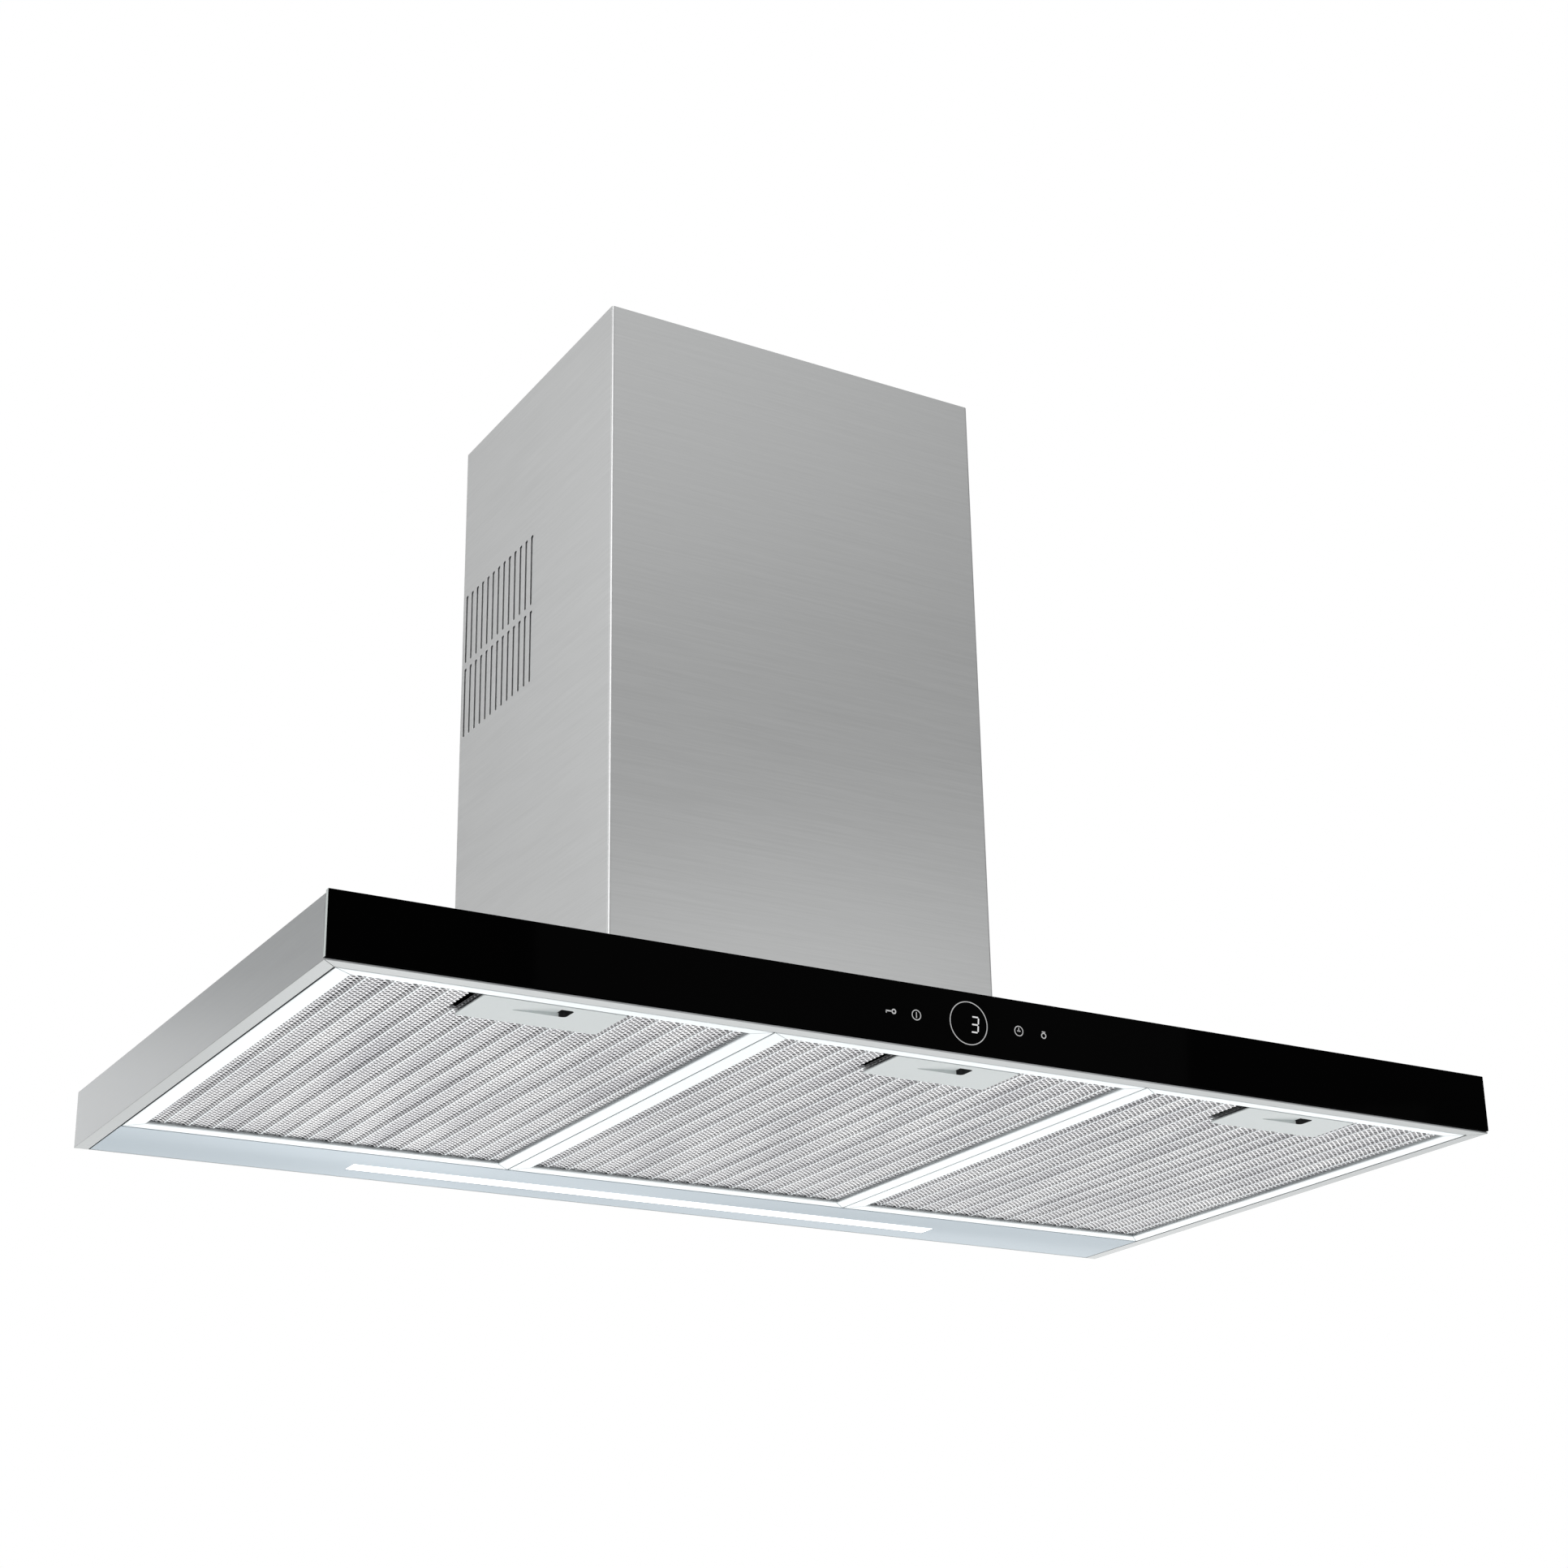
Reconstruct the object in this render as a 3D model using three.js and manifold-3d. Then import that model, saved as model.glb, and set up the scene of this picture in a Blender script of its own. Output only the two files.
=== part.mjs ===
// A wall-mounted chimney range hood, 90 cm class: a slim brushed-steel canopy with a black glass
// front, three aluminium grease filters, a light strip along the back and a telescopic chimney
// that hides the blower.
//
// Millimetres. +X is to the right as one faces the glass, +Y is towards the wall, +Z is up. The
// origin is on the underside of the canopy, halfway across and halfway from the glass to the wall.

import * as THREE from "three";
import { mergeVertices } from "three/addons/utils/BufferGeometryUtils.js";
import Module from "manifold-3d";

const wasm = await Module();
wasm.setup();

// ---------------------------------------------------------------- driving dimensions

const WIDTH = 898;              // canopy and glass, left to right
const DEPTH = 486;              // face of the glass to the wall
const CANOPY_HEIGHT = 43;       // also the height of the glass
const TOTAL_HEIGHT = 631;       // with the chimney pushed down
const CHIMNEY_WIDTH = 326;
const CHIMNEY_DEPTH = 272;      // the chimney stands against the wall

const SHEET = 1.2;              // steel sheet
const GAP = 0.3;                // between pieces that touch
const FRONT = -DEPTH / 2;
const WALL = DEPTH / 2;

const GLASS = 4;                // glass thickness
const STEEL_TOP = 41;           // top sheet of the canopy, a little under the glass edge
const SIDE_FLANGE = 10.2;       // inward flange under each side
const FRONT_FLANGE = 12;        // from the glass face to the filters
const LIP = 8;                  // upstand round the filter opening

const FILTERS = 3;
const FILTER_WIDTH = 291.2;
const FILTER_PITCH = 292;
const FILTER_HEIGHT = 9;
const FILTER_FRONT = FRONT + FRONT_FLANGE + 0.8;
const FILTER_REAR = 168.6;
const FRAME_WALL = 1;
const FRAME_SIDE = 13;          // width of the frame's face at the sides and the rear
const FRAME_FRONT = 9;          // and at the front
const RIDGES = 15;              // folds across one mesh
const RIDGE_PITCH = 17.45;
const MESH_FACE = 4;            // height of the mesh above the frame's face
const RIDGE_DROP = 1.2;

const LATCH_WIDTH = 96;
const LATCH_DEPTH = 45;
const LATCH_FRONT = FILTER_FRONT + FRAME_FRONT + 0.2;
const LATCH_PLATE = 2.2;
const GRIP_WIDTH = 41;          // finger recess
const GRIP_DEPTH = 17.5;
const GRIP_HEIGHT = 6;
const LATCH_TRAVEL = 8;

const PANEL_FRONT = 169.7;      // rear light panel
const PANEL_REAR = WALL - 1.6;
const STRIP_WIDTH = 508;        // lit strip
const STRIP_DEPTH = 18;
const STRIP_Y = FRONT + 454;

const CONTROL_X = -7.5;         // middle of the touch controls
const CONTROL_Z = 21.7;

const SLEEVE_GAP = 0.6;         // between the two chimney covers
const RETURN = 20;              // rear flange of a chimney cover
const UPPER_BOTTOM = 62;
const UPPER_TOP = 628;
const VENT_COLUMNS = 13;
const VENT_PITCH = 10.4;
const VENT_WIDTH = 4.4;
const VENT_HEIGHT = 60;
const VENT_Y = FRONT + 415.2;   // middle of the slots
const LOWER_VENTS = [370.5, 436.3];
const UPPER_VENTS = [500, 565.8];

const CASE_WIDTH = 300;         // blower casing
const CASE_FRONT = -17;
const CASE_REAR = 230;
const CASE_BOTTOM = STEEL_TOP + GAP;
const CASE_TOP = 290;
const CASE_FLANGE = 8;

const SHAFT_Y = 95;             // blower shaft, which lies along X
const SHAFT_Z = 157;
const SCROLL_HALF = 74;         // half the width of the scroll
const SCROLL_WALL = 1.5;
const SCROLL_WIDE = 104;        // scroll radius at the outlet
const SCROLL_NARROW = 88;       // and at the cut-off
const CUTOFF = THREE.MathUtils.degToRad(65);
const OUTLET_INNER = 85;        // y of the outlet's inner wall at the top
const WHEEL_RADIUS = 78;
const WHEEL_HALF = 66;
const BLADES = 20;
const BLADE_DEPTH = 14;
const INLET_RADIUS = 62;
const MOTOR_RADIUS = 40;
const SHAFT_RADIUS = 4;

const COLLAR_Y = 130;           // centre of the duct outlet
const COLLAR_RADIUS = 75;       // for a 150 mm duct
const COLLAR_WALL = 2;
const COLLAR_HEIGHT = 60;
const DAMPER_Z = CASE_TOP + 22;
const DAMPER_RADIUS = 70;

// ---------------------------------------------------------------- finishes

function finish(color, roughness, metalness) {
  return new THREE.MeshStandardMaterial({ color, roughness, metalness });
}

const steel = () => finish(0xb0b0b0, 0.35, 1);
const aluminium = () => finish(0xe2e4e6, 0.4, 1);
const meshAluminium = () => finish(0xc4c4c6, 0.5, 1);
const galvanised = () => finish(0xa9adb0, 0.5, 1);
const blackGlass = () => finish(0x050505, 0.05, 0);
const greyPlastic = () => finish(0xd2d6d6, 0.45, 0);
const blackPlastic = () => finish(0x18181a, 0.55, 0);
const whitePlastic = () => finish(0xe8e8e4, 0.5, 0);
const diffuserPlastic = () => finish(0xffffff, 0.4, 0);
const circuitBoard = () => finish(0x1d5a38, 0.5, 0);
const springSteel = () => finish(0x8d9092, 0.3, 1);
const paintedSteel = () => finish(0x3a3d40, 0.5, 0.2);

// ---------------------------------------------------------------- solids

// Turns a three.js geometry into a solid that can be joined and cut.
function solid(geometry) {
  const bare = geometry.clone();
  bare.deleteAttribute("normal");
  bare.deleteAttribute("uv");
  const welded = mergeVertices(bare, 1e-4);
  return new wasm.Manifold(new wasm.Mesh({
    numProp: 3,
    vertProperties: new Float32Array(welded.attributes.position.array),
    triVerts: new Uint32Array(welded.index.array),
  }));
}

// Turns a solid back into a three.js geometry.
function surface(shape) {
  const mesh = shape.getMesh();
  const geometry = new THREE.BufferGeometry();
  geometry.setAttribute("position", new THREE.BufferAttribute(mesh.vertProperties, 3));
  geometry.setIndex(new THREE.BufferAttribute(mesh.triVerts, 1));
  geometry.computeVertexNormals();
  return geometry;
}

// A box between two corners.
function block([x0, y0, z0], [x1, y1, z1]) {
  const geometry = new THREE.BoxGeometry(x1 - x0, y1 - y0, z1 - z0);
  geometry.translate((x0 + x1) / 2, (y0 + y1) / 2, (z0 + z1) / 2);
  return solid(geometry);
}

// The same box on the left and on the right.
function pair([x0, y0, z0], [x1, y1, z1]) {
  return block([x0, y0, z0], [x1, y1, z1]).add(block([-x1, y0, z0], [-x0, y1, z1]));
}

const TURN_TO = {
  x: (geometry) => geometry.rotateZ(-Math.PI / 2),
  y: (geometry) => geometry,
  z: (geometry) => geometry.rotateX(Math.PI / 2),
};

// A round bar along an axis, from one place on it to another, centred on the point given.
function bar(axis, radius, from, to, [x, y, z] = [0, 0, 0], sides = 24) {
  const geometry = new THREE.CylinderGeometry(radius, radius, to - from, sides);
  geometry.translate(0, (from + to) / 2, 0);
  TURN_TO[axis](geometry);
  geometry.translate(x, y, z);
  return solid(geometry);
}

// A ring turned about an axis. Each profile point is [radius, place along the axis], and the
// profile goes round so that its outer side runs along the axis.
function ring(axis, profile, sides = 36) {
  const points = [...profile, profile[0]].map(([r, h]) => new THREE.Vector2(r, h));
  return solid(TURN_TO[axis](new THREE.LatheGeometry(points, sides)));
}

// A straight-walled tube with flat ends.
function tube(axis, inner, outer, from, to, sides = 36) {
  return ring(axis, [[outer, from], [outer, to], [inner, to], [inner, from]], sides);
}

// An outline drawn in Y and Z, made into a solid from one X to another.
const ALONG_X = new THREE.Matrix4().makeBasis(
  new THREE.Vector3(0, 1, 0), new THREE.Vector3(0, 0, 1), new THREE.Vector3(1, 0, 0));

function slab(outline, from, to) {
  const shape = new THREE.Shape(outline.map(([y, z]) => new THREE.Vector2(y, z)));
  const geometry = new THREE.ExtrudeGeometry(shape, { depth: to - from, bevelEnabled: false });
  geometry.applyMatrix4(ALONG_X);
  geometry.translate(from, 0, 0);
  return solid(geometry);
}

// An outline drawn in X and Y, made into a solid from one height to another.
function plank(outline, bottom, top) {
  const shape = new THREE.Shape(outline.map(([x, y]) => new THREE.Vector2(x, y)));
  const geometry = new THREE.ExtrudeGeometry(shape, { depth: top - bottom, bevelEnabled: false });
  geometry.translate(0, 0, bottom);
  return solid(geometry);
}

// A round-head screw along an axis: the head starts at `head`, and the shank ends at `tip`.
function screw(axis, at, head, under, tip, headRadius = 3.5, shankRadius = 1.8) {
  const [low, high] = [Math.min(head, under), Math.max(head, under)];
  const [start, end] = [Math.min(under, tip), Math.max(under, tip)];
  return bar(axis, headRadius, low, high, at, 16).add(bar(axis, shankRadius, start, end, at, 12));
}

const HOLE = 2.2;               // clearance hole for those screws

function part(group, name, shape, material) {
  const mesh = new THREE.Mesh(surface(shape), material);
  mesh.name = name;
  group.add(mesh);
  return mesh;
}

// ---------------------------------------------------------------- canopy

const CANOPY_HALF = WIDTH / 2;
const OPENING_HALF = CANOPY_HALF - SIDE_FLANGE;
const CANOPY_FRONT = FRONT + GLASS + GAP;
const OPENING_FRONT = FRONT + FRONT_FLANGE;
const INTAKE_HALF = CASE_WIDTH / 2 - 4;
const BLOWER_SCREW_X = CASE_WIDTH / 2 + CASE_FLANGE / 2;
const BLOWER_SCREW_Y = [10, 205];

// A tray of folded sheet, open below: top, sides, back, a front wall behind the glass, flanges
// round the opening with a short upstand, and two plates that hold the chimney.
function canopyShell() {
  const outside = block([-CANOPY_HALF, CANOPY_FRONT, 0], [CANOPY_HALF, WALL, STEEL_TOP]);
  const inside = block(
    [-CANOPY_HALF + SHEET, CANOPY_FRONT + SHEET, SHEET],
    [CANOPY_HALF - SHEET, WALL - SHEET, STEEL_TOP - SHEET]);
  const opening = block(
    [-OPENING_HALF, OPENING_FRONT, -1], [OPENING_HALF, WALL - SHEET, SHEET + 1]);
  const intake = block(
    [-INTAKE_HALF, CASE_FRONT + 5, STEEL_TOP - 3], [INTAKE_HALF, CASE_REAR - 5, STEEL_TOP + 3]);
  const controlWindow = block(
    [CONTROL_X - 95, CANOPY_FRONT - 1, 13], [CONTROL_X + 95, CANOPY_FRONT + SHEET + 1, 35]);
  const glassLedge = block(
    [-CANOPY_HALF, FRONT + 1.5, 0], [CANOPY_HALF, OPENING_FRONT, SHEET]);
  const frontLip = block(
    [-OPENING_HALF, OPENING_FRONT - SHEET, 0], [OPENING_HALF, OPENING_FRONT, LIP]);
  const sideLips = pair(
    [OPENING_HALF, OPENING_FRONT - SHEET, 0], [OPENING_HALF + SHEET, PANEL_FRONT, LIP]);
  const chimneyPlates = pair(
    [CHIMNEY_WIDTH / 2 - 2 * SHEET - 0.4, 40, STEEL_TOP - 1],
    [CHIMNEY_WIDTH / 2 - SHEET - 0.4, 180, STEEL_TOP + 17]);
  let shell = outside.subtract(inside).subtract(opening).subtract(intake);
  shell = shell.subtract(controlWindow).add(glassLedge).add(frontLip).add(sideLips);
  shell = shell.add(chimneyPlates);
  for (const x of [-BLOWER_SCREW_X, BLOWER_SCREW_X]) {
    for (const y of BLOWER_SCREW_Y) {
      shell = shell.subtract(bar("z", HOLE, STEEL_TOP - 4, STEEL_TOP + 4, [x, y, 0], 12));
    }
  }
  return shell;
}

// The glass has a small flat along each of its four front edges.
function frontGlass() {
  const bottom = SHEET + GAP;
  const edge = 0.6;
  const outline = [
    [FRONT + GLASS, bottom], [FRONT + GLASS, CANOPY_HEIGHT],
    [FRONT + edge, CANOPY_HEIGHT], [FRONT, CANOPY_HEIGHT - edge],
    [FRONT, bottom + edge], [FRONT + edge, bottom],
  ];
  return slab(outline, -CANOPY_HALF, CANOPY_HALF);
}

function canopy() {
  const group = new THREE.Group();
  part(group, "canopy_shell", canopyShell(), steel());
  part(group, "front_glass", frontGlass(), blackGlass());
  return group;
}

// ---------------------------------------------------------------- lighting

// A folded channel across the back of the opening. The filters' rear tabs rest on its front
// upstand, and the lit strip shows through its slot.
function lightPanel() {
  const half = OPENING_HALF - 0.8;
  const web = block([-half, PANEL_FRONT, 0], [half, PANEL_REAR, 1]);
  const frontEdge = block([-half, PANEL_FRONT, 0], [half, PANEL_FRONT + 1, 2.6]);
  const rearEdge = block([-half, PANEL_REAR - 1, 0], [half, PANEL_REAR, 20]);
  const slot = block(
    [-STRIP_WIDTH / 2, STRIP_Y - STRIP_DEPTH / 2, -1],
    [STRIP_WIDTH / 2, STRIP_Y + STRIP_DEPTH / 2, 2]);
  return web.add(frontEdge).add(rearEdge).subtract(slot);
}

// A strip that fills the slot, with a flange that rests on the panel.
function diffuser() {
  const half = STRIP_WIDTH / 2;
  const deep = STRIP_DEPTH / 2;
  const face = block([-half + GAP, STRIP_Y - deep + GAP, 0.1], [half - GAP, STRIP_Y + deep - GAP, 2]);
  const flange = block([-half - 3, STRIP_Y - deep - 3, 1.3], [half + 3, STRIP_Y + deep + 3, 3]);
  return face.add(flange);
}

function lampHousing() {
  const half = STRIP_WIDTH / 2 + 4;
  const deep = STRIP_DEPTH / 2 + 5;
  const outside = block([-half, STRIP_Y - deep, 3.3], [half, STRIP_Y + deep, 17]);
  const inside = block([-half - 1, STRIP_Y - deep + SHEET, 2], [half + 1, STRIP_Y + deep - SHEET, 15.8]);
  return outside.subtract(inside);
}

function ledBoard() {
  return block([-STRIP_WIDTH / 2, STRIP_Y - 6, 13.9], [STRIP_WIDTH / 2, STRIP_Y + 6, 15.5]);
}

function lighting() {
  const group = new THREE.Group();
  part(group, "rear_light_panel", lightPanel(), steel());
  part(group, "light_diffuser", diffuser(), diffuserPlastic());
  part(group, "lamp_housing", lampHousing(), aluminium());
  part(group, "led_board", ledBoard(), circuitBoard());
  part(group, "led_driver", block([275, 190, 1.3], [385, 222, 22]), whitePlastic());
  return group;
}

// ---------------------------------------------------------------- touch controls

// Drawn about the middle of the controls in X and Z.
function controls() {
  const group = new THREE.Group();
  group.position.set(CONTROL_X, 0, CONTROL_Z);
  const back = CANOPY_FRONT + SHEET + GAP;
  const boardBack = back + 2.2;
  const board = block([-104, back + 0.6, -10], [104, boardBack, 14]);
  const cover = block([-108, back, -11], [108, back + 15, 17])
    .subtract(block([-105.5, back - 1, -10.4], [105.5, back + 12.8, 14.6]));
  const display = block([-11, FRONT + GLASS + GAP, -8], [11, back + GAP, 8]);
  part(group, "touch_board", board, circuitBoard());
  part(group, "display_module", display, blackPlastic());
  part(group, "control_cover", cover, blackPlastic());
  return group;
}

// ---------------------------------------------------------------- grease filters

// A mitred channel frame with a slot for the latch tongue and two tabs at the rear.
function filterFrame() {
  const half = FILTER_WIDTH / 2;
  const outside = block([-half, FILTER_FRONT, 0], [half, FILTER_REAR, FILTER_HEIGHT]);
  const channel = block(
    [-half + FRAME_WALL, FILTER_FRONT + FRAME_WALL, FRAME_WALL],
    [half - FRAME_WALL, FILTER_REAR - FRAME_WALL, FILTER_HEIGHT - FRAME_WALL]);
  const window = block(
    [-half + FRAME_SIDE, FILTER_FRONT + FRAME_FRONT, -1],
    [half - FRAME_SIDE, FILTER_REAR - FRAME_SIDE, FILTER_HEIGHT + 1]);
  const tongueSlot = block([-16, FILTER_FRONT - 1, 2.2], [16, FILTER_FRONT + 2, 5.4]);
  const tabs = pair([90, FILTER_REAR - 0.5, 4], [120, FILTER_REAR + 6.4, 5.2]);
  return outside.subtract(channel).subtract(window).subtract(tongueSlot).add(tabs);
}

// A sheet folded into narrow ridges that run from front to rear, cut away above the latch.
function filterMesh() {
  const half = FILTER_WIDTH / 2 - FRAME_WALL - 0.7;
  const lower = [];
  const upper = [];
  for (let i = 0; i < RIDGES; i += 1) {
    const x = (i - (RIDGES - 1) / 2) * RIDGE_PITCH;
    const fold = [[x - 1.6, MESH_FACE], [x, MESH_FACE - RIDGE_DROP], [x + 1.6, MESH_FACE]];
    lower.push(...fold);
    upper.unshift(...fold.reverse().map(([u, z]) => [u, z + 1]));
  }
  const outline = [
    [-half, MESH_FACE], ...lower, [half, MESH_FACE],
    [half, MESH_FACE + 1], ...upper, [-half, MESH_FACE + 1],
  ];
  const shape = new THREE.Shape(outline.map(([x, z]) => new THREE.Vector2(x, z)));
  const from = FILTER_FRONT + FRAME_WALL + 0.7;
  const to = FILTER_REAR - FRAME_WALL - 0.7;
  const geometry = new THREE.ExtrudeGeometry(shape, { depth: to - from, bevelEnabled: false });
  geometry.rotateX(Math.PI / 2);
  geometry.translate(0, to, 0);
  const latchRoom = block(
    [-GRIP_WIDTH / 2 - 4, from - 1, 0],
    [GRIP_WIDTH / 2 + 4, LATCH_FRONT + GRIP_DEPTH + LATCH_TRAVEL + 10, FILTER_HEIGHT]);
  return solid(geometry).subtract(latchRoom);
}

const GRIP_FRONT = LATCH_FRONT + 6;
const CARRIER_FLOOR = 7.6;
const CARRIER_REAR = LATCH_FRONT + 52;

// A flat plate with a finger recess and a tongue that reaches through the frame's front wall.
function latchPlate() {
  const halfGrip = GRIP_WIDTH / 2;
  const plate = block(
    [-LATCH_WIDTH / 2, LATCH_FRONT, 0.2],
    [LATCH_WIDTH / 2, LATCH_FRONT + LATCH_DEPTH, LATCH_PLATE]);
  const pocket = block(
    [-halfGrip - 1.5, GRIP_FRONT - 1.5, 1],
    [halfGrip + 1.5, GRIP_FRONT + GRIP_DEPTH + 1.5, GRIP_HEIGHT + 1.2]);
  const recess = block(
    [-halfGrip, GRIP_FRONT, -1], [halfGrip, GRIP_FRONT + GRIP_DEPTH, GRIP_HEIGHT]);
  const tongue = block([-14, FILTER_FRONT + 0.3, 2.6], [14, GRIP_FRONT - 1, 5]);
  const root = block([-14, LATCH_FRONT + 1.5, 2], [14, GRIP_FRONT - 1, 5]);
  return plate.add(pocket).add(tongue).add(root).subtract(recess);
}

// The plate slides under this carrier, which is fixed to the mesh and holds the spring.
function latchCarrier() {
  const top = block(
    [-32, LATCH_FRONT + 0.6, CARRIER_FLOOR], [32, CARRIER_REAR + 1, CARRIER_FLOOR + 1]);
  const stop = block([-8, CARRIER_REAR, 5.3], [8, CARRIER_REAR + 1, CARRIER_FLOOR + 0.5]);
  return top.add(stop);
}

function latchSpring() {
  const from = GRIP_FRONT + GRIP_DEPTH + 1.5 + GAP;
  return bar("y", 1, from, CARRIER_REAR - GAP, [0, 0, 6.35], 12);
}

function filter(number) {
  const group = new THREE.Group();
  group.position.x = (number - (FILTERS + 1) / 2) * FILTER_PITCH;
  part(group, `filter_frame_${number}`, filterFrame(), aluminium());
  part(group, `filter_mesh_${number}`, filterMesh(), meshAluminium());
  part(group, `latch_carrier_${number}`, latchCarrier(), greyPlastic());
  part(group, `latch_plate_${number}`, latchPlate(), greyPlastic());
  part(group, `latch_spring_${number}`, latchSpring(), springSteel());
  return group;
}

// ---------------------------------------------------------------- chimney

// A cover of folded sheet, open at the back between two return flanges, and its vent slots.
function chimneyCover(half, front, rear, bottom, top, ventRows) {
  const outside = block([-half, front, bottom], [half, rear, top]);
  const inside = block(
    [-half + SHEET, front + SHEET, bottom - 1], [half - SHEET, rear - SHEET, top + 1]);
  const back = block(
    [-half + SHEET + RETURN, rear - 5, bottom - 1], [half - SHEET - RETURN, rear + 1, top + 1]);
  let cover = outside.subtract(inside).subtract(back);
  for (const z of ventRows) {
    for (let i = 0; i < VENT_COLUMNS; i += 1) {
      const y = VENT_Y + (i - (VENT_COLUMNS - 1) / 2) * VENT_PITCH;
      const slot = block(
        [-half - 1, y - VENT_WIDTH / 2, z], [half + 1, y + VENT_WIDTH / 2, z + VENT_HEIGHT]);
      cover = cover.subtract(slot);
    }
  }
  return cover;
}

const UPPER_HALF = CHIMNEY_WIDTH / 2 - SHEET - SLEEVE_GAP;
const UPPER_FRONT = WALL - CHIMNEY_DEPTH + SHEET + SLEEVE_GAP;
const UPPER_REAR = WALL - SHEET - SLEEVE_GAP;
const BRACKET_LOW = 598;
const BRACKET_HIGH = 622;
const BRACKET_SCREW = [0, 200, 610];

function upperCover() {
  const cover = chimneyCover(
    UPPER_HALF, UPPER_FRONT, UPPER_REAR, UPPER_BOTTOM, UPPER_TOP, UPPER_VENTS);
  return cover.subtract(bar("x", HOLE, -UPPER_HALF - 1, UPPER_HALF + 1, BRACKET_SCREW, 12));
}

// A bent strip that is screwed to the wall and whose two arms hold the upper cover.
function chimneyBracket() {
  const thick = 1.5;
  const arm = UPPER_HALF - SHEET - 0.4;
  const step = UPPER_HALF - SHEET - RETURN - 1;
  const wallFace = WALL - 0.2;
  const wingFace = UPPER_REAR - SHEET - GAP;
  const rightHalf = [
    [step, wallFace], [step, wingFace], [arm, wingFace], [arm, 180], [arm - thick, 180],
    [arm - thick, wingFace - thick], [step - thick, wingFace - thick],
    [step - thick, wallFace - thick],
  ];
  const leftHalf = rightHalf.map(([x, y]) => [-x, y]).reverse();
  let bracket = plank([...rightHalf, ...leftHalf], BRACKET_LOW, BRACKET_HIGH);
  bracket = bracket.subtract(bar("x", HOLE, -UPPER_HALF, UPPER_HALF, BRACKET_SCREW, 12));
  for (const x of [-100, 100]) {
    bracket = bracket.subtract(bar("y", 3, WALL - 5, WALL + 1, [x, 0, BRACKET_SCREW[2]], 16));
  }
  return bracket;
}

function chimney() {
  const group = new THREE.Group();
  const lower = chimneyCover(
    CHIMNEY_WIDTH / 2, WALL - CHIMNEY_DEPTH, WALL, STEEL_TOP + GAP, TOTAL_HEIGHT, LOWER_VENTS);
  part(group, "lower_chimney", lower, steel());
  part(group, "upper_chimney", upperCover(), steel());
  part(group, "chimney_wall_bracket", chimneyBracket(), galvanised());
  const armInner = UPPER_HALF - SHEET - 0.4 - 1.5;
  for (const [side, sign] of [["left", -1], ["right", 1]]) {
    const shape = screw("x", BRACKET_SCREW, sign * (armInner - 2.6), sign * (armInner - GAP),
      sign * (UPPER_HALF - 0.1));
    part(group, `bracket_screw_${side}`, shape, springSteel());
  }
  return group;
}

// ---------------------------------------------------------------- blower casing

function blowerCase() {
  const half = CASE_WIDTH / 2;
  const outside = block([-half, CASE_FRONT, CASE_BOTTOM], [half, CASE_REAR, CASE_TOP]);
  const inside = block(
    [-half + SHEET, CASE_FRONT + SHEET, CASE_BOTTOM - 1],
    [half - SHEET, CASE_REAR - SHEET, CASE_TOP - SHEET]);
  const flanges = pair(
    [half - SHEET, CASE_FRONT, CASE_BOTTOM], [half + CASE_FLANGE, CASE_REAR, CASE_BOTTOM + SHEET]);
  const outlet = bar("z", COLLAR_RADIUS - COLLAR_WALL - 1, CASE_TOP - 5, CASE_TOP + 5,
    [0, COLLAR_Y, 0], 40);
  const hook = block(
    [-100, CASE_REAR - SHEET, HANGER_TOP + GAP], [100, CASE_REAR + 10, HANGER_TOP + GAP + SHEET]);
  let shell = outside.subtract(inside).add(flanges).subtract(outlet).add(hook);
  for (const x of [-BLOWER_SCREW_X, BLOWER_SCREW_X]) {
    for (const y of BLOWER_SCREW_Y) {
      shell = shell.subtract(bar("z", HOLE, CASE_BOTTOM - 1, CASE_BOTTOM + 3, [x, y, 0], 12));
    }
  }
  return shell;
}

// The strip that the hood hangs on. Two wall screws pass through it.
const HANGER_TOP = 282.8;
const HANGER_LOW = 228;
const HANGER_SCREW_Z = 252;

function hangingStrip() {
  const plate = block([-110, WALL - 1.8, HANGER_LOW], [110, WALL, HANGER_TOP]);
  const shelf = block([-110, CASE_REAR + 2, HANGER_TOP - 1.8], [110, WALL, HANGER_TOP]);
  let strip = plate.add(shelf);
  for (const x of [-80, 80]) {
    strip = strip.subtract(bar("y", 3.4, WALL - 4, WALL + 1, [x, 0, HANGER_SCREW_Z], 16));
  }
  return strip;
}

function casing() {
  const group = new THREE.Group();
  part(group, "blower_case", blowerCase(), galvanised());
  part(group, "wall_hanging_strip", hangingStrip(), galvanised());
  for (const [side, x] of [["left", -80], ["right", 80]]) {
    const shape = screw("y", [x, 0, HANGER_SCREW_Z], WALL - 5.4, WALL - 2.1, WALL - 0.1, 6, 3);
    part(group, `wall_screw_${side}`, shape, springSteel());
  }
  let number = 0;
  for (const x of [-BLOWER_SCREW_X, BLOWER_SCREW_X]) {
    for (const y of BLOWER_SCREW_Y) {
      number += 1;
      const under = CASE_BOTTOM + SHEET + GAP;
      part(group, `case_screw_${number}`, screw("z", [x, y, 0], under + 2.4, under, 36),
        springSteel());
    }
  }
  return group;
}

// ---------------------------------------------------------------- blower

// Drawn about the shaft, in Y and Z.
const SCROLL_TOP = CASE_TOP - SHEET - 1.3 - SHAFT_Z;
const SCROLL_SWEEP = 2 * Math.PI - CUTOFF;

function scrollPath(inset, lastAngle) {
  const points = [];
  const steps = 28;
  for (let i = 0; i <= steps; i += 1) {
    const turned = (i / steps) * lastAngle;
    const radius = SCROLL_WIDE - (SCROLL_WIDE - SCROLL_NARROW) * (turned / SCROLL_SWEEP) - inset;
    points.push([radius * Math.cos(turned), -radius * Math.sin(turned)]);
  }
  return points;
}

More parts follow.
